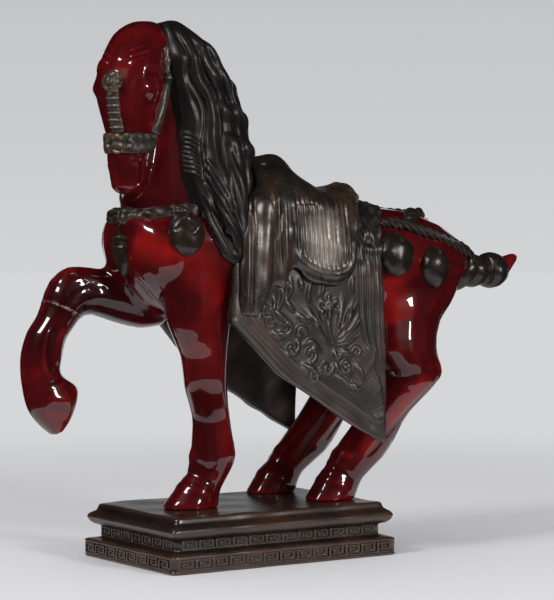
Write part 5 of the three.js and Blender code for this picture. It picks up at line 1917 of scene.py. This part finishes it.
@dataclass
class Studio:
    """The table, the pale sweep behind it, black drapes for the gloss to mirror, lamps and camera.

    Attributes:
        horizon: colour of the sweep at eye level.
        upper: its colour above the figure.
        lower: its colour where it meets the table.
        table: colour of the table.
        soft_light: colour of the light that the sweep sheds.
        soft_strength: its strength.
        cloth: colour of the drapes.
        drape: profile of the drapes, as radius and height.
        canopy: profile of the canopy above them, which runs right round.
        drape_azimuth: bearing of the drapes' middle.
        drape_span: angle that they cover.
        lamps: the softboxes.
        camera_place: the camera's place, in metres.
        camera_aim: the point that it looks at.
        lens: its focal length in millimetres.
        sensor: width of its sensor in millimetres.
    """

    horizon: str = "#cdced0"
    upper: str = "#c4c5c7"
    lower: str = "#d5d6d8"
    table: str = "#e6e6e8"
    soft_light: str = "#f2f2f4"
    soft_strength: float = 0.58
    cloth: str = "#0c0c0d"
    drape: Path = ((0.33, 0.001), (2.7, 0.001), (2.7, 0.8))
    canopy: Path = ((2.7, 0.8), (2.7, 1.5), (2.0, 2.4), (0.0, 2.8))
    drape_azimuth: float = -34.0
    drape_span: float = 306.0
    lamps: tuple[Softbox, ...] = (
        Softbox("right_softbox", 14.0, 26.0, 1.75, (0.26, 0.4), 10.0),
        Softbox("left_softbox", -82.0, 46.0, 1.7, (0.4, 0.4), 9.0),
    )
    camera_place: Spot = (-1.0599, -1.5570, 0.2649)
    camera_aim: Spot = (-0.0131, 0.0, 0.1824)
    lens: float = 156.0
    sensor: float = 36.0

    def build(self) -> None:
        """Sets up the studio."""
        self.set_world()
        self.lay_table()
        self.hang_drapes()
        for lamp in self.lamps:
            self.hang(lamp)
        self.set_camera()
        bpy.context.scene.view_settings.view_transform = "Standard"

    def seen_directly(self, tree: bpy.types.NodeTree) -> bpy.types.NodeSocket:
        """Returns 1 for rays that show the background and 0 for rays that light the figure."""
        path = add_node(tree, "LightPath")
        seen = add_node(tree, "Math", {"operation": "ADD"}, links={
            0: path.outputs["Is Camera Ray"], 1: path.outputs["Is Glossy Ray"]})
        return add_node(tree, "Math", {"operation": "ADD", "use_clamp": True}, links={
            0: seen.outputs["Value"], 1: path.outputs["Is Transmission Ray"]}).outputs["Value"]

    def set_world(self) -> None:
        """Makes the pale sweep, a little darker upward, and the soft light that it sheds."""
        world = bpy.data.worlds.new("studio")
        world.use_nodes = True
        tree = world.node_tree
        tree.nodes.clear()
        where = add_node(tree, "TexCoord")
        parts = add_node(tree, "SeparateXYZ", links={0: where.outputs["Generated"]})
        height = add_node(tree, "MapRange", values={
            "From Min": -0.05, "From Max": 0.07}, links={"Value": parts.outputs["Z"]})
        sweep = colour_ramp(tree, height.outputs["Result"], (
            (0.0, self.lower), (0.42, self.horizon), (1.0, self.upper)))
        shown = add_node(tree, "Background", values={"Strength": 1.0},
                         links={"Color": sweep})
        soft = add_node(tree, "Background", values={
            "Color": linear(self.soft_light), "Strength": self.soft_strength})
        mix = add_node(tree, "MixShader", links={
            0: self.seen_directly(tree), 1: soft.outputs["Background"],
            2: shown.outputs["Background"]})
        add_node(tree, "OutputWorld", links={"Surface": mix.outputs["Shader"]})
        bpy.context.scene.world = world

    def stage_piece(self, name: str, work: bmesh.types.BMesh,
                    surface: Callable[[bpy.types.NodeTree], bpy.types.NodeSocket]) -> bpy.types.Object:
        """Puts a piece of the studio in place.

        Args:
            name: name of the piece and of its material.
            work: its shape, which is used up.
            surface: builds its shader in a node tree.

        Returns:
            The piece.
        """
        mesh = bpy.data.meshes.new(name)
        work.to_mesh(mesh)
        work.free()
        made = bpy.data.materials.new(name)
        made.use_nodes = True
        made.node_tree.nodes.clear()
        add_node(made.node_tree, "OutputMaterial",
                 links={"Surface": surface(made.node_tree)})
        mesh.materials.append(made)
        piece = bpy.data.objects.new(name, mesh)
        bpy.context.scene.collection.objects.link(piece)
        piece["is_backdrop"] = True
        return piece

    def lay_table(self) -> None:
        """Lays the table, which fades into the sweep far from the figure."""
        work = bmesh.new()
        bmesh.ops.create_circle(work, cap_ends=True, segments=96, radius=6.0)
        self.stage_piece("white_laminate", work, self.laminate)

    def laminate(self, tree: bpy.types.NodeTree) -> bpy.types.NodeSocket:
        """Builds the table's matt white, lit near the figure and plain far from it."""
        where = add_node(tree, "TexCoord")
        reach = add_node(tree, "VectorMath", {"operation": "LENGTH"},
                         links={0: where.outputs["Object"]})
        far = add_node(tree, "MapRange", {"interpolation_type": "SMOOTHSTEP"}, {
            "From Min": 0.4, "From Max": 1.0}, {"Value": reach.outputs["Value"]})
        lit = add_node(tree, "BsdfDiffuse", values={"Color": linear(self.table)})
        glow = add_node(tree, "Emission", values={
            "Color": linear(self.lower), "Strength": 1.0})
        return add_node(tree, "MixShader", links={
            0: far.outputs["Result"], 1: lit.outputs["BSDF"],
            2: glow.outputs["Emission"]}).outputs["Shader"]

    def hang_drapes(self) -> None:
        """Hangs black drapes about and over the figure, which only its gloss mirrors."""
        work = bmesh.new()
        for profile, span in ((self.drape, self.drape_span), (self.canopy, 360.0)):
            points = [work.verts.new((radius, 0, height)) for radius, height in profile]
            edges = [work.edges.new(pair) for pair in zip(points, points[1:])]
            bmesh.ops.spin(work, geom=points + edges, cent=(0, 0, 0), axis=(0, 0, 1),
                           angle=math.radians(span), steps=48)
        bmesh.ops.remove_doubles(work, verts=work.verts, dist=1e-5)
        start = self.drape_azimuth - 90 - self.drape_span / 2
        bmesh.ops.rotate(work, verts=work.verts, cent=(0, 0, 0),
                         matrix=Matrix.Rotation(math.radians(start), 3, "Z"))
        drapes = self.stage_piece("black_drapes", work, self.black_cloth)
        drapes.visible_camera = False
        drapes.visible_diffuse = False
        drapes.visible_shadow = False
        drapes.visible_transmission = False

    def black_cloth(self, tree: bpy.types.NodeTree) -> bpy.types.NodeSocket:
        """Builds the drapes' black."""
        return add_node(tree, "BsdfDiffuse", values={
            "Color": linear(self.cloth)}).outputs["BSDF"]

    def hang(self, lamp: Softbox) -> None:
        """Hangs a softbox that faces the middle of the figure."""
        light = bpy.data.lights.new(lamp.name, "AREA")
        light.shape = "RECTANGLE"
        light.size, light.size_y = lamp.size
        light.energy = lamp.power
        holder = bpy.data.objects.new(lamp.name, light)
        self.aim(holder, bearing(lamp.azimuth, lamp.elevation, lamp.distance))

    def set_camera(self) -> None:
        """Puts the camera at the photograph's viewpoint."""
        data = bpy.data.cameras.new("camera")
        data.lens = self.lens
        data.sensor_width = self.sensor
        camera = bpy.data.objects.new("camera", data)
        self.aim(camera, Vector(self.camera_place))
        bpy.context.scene.camera = camera

    def aim(self, holder: bpy.types.Object, place: Vector) -> None:
        """Puts a lamp or the camera in its place and turns it to the middle of the figure."""
        holder.location = place
        sight = Vector(self.camera_aim) - place
        holder.rotation_euler = sight.to_track_quat("-Z", "Y").to_euler()
        bpy.context.scene.collection.objects.link(holder)


def main() -> None:
    """Builds the figure and its studio."""
    logging.basicConfig(level=logging.INFO, format="%(name)s %(message)s")
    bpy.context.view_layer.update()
    parts = (HorseBody(), Mane(), SaddleCloths(), Saddle(), BreastHarness(),
             Crupper(), RumpBells(), TailBinding(), Bridle(), Plinth(), Studio())
    for part in parts:
        part.build()
        LOG.info("%s done", type(part).__name__)


if __name__ == "__main__":
    main()
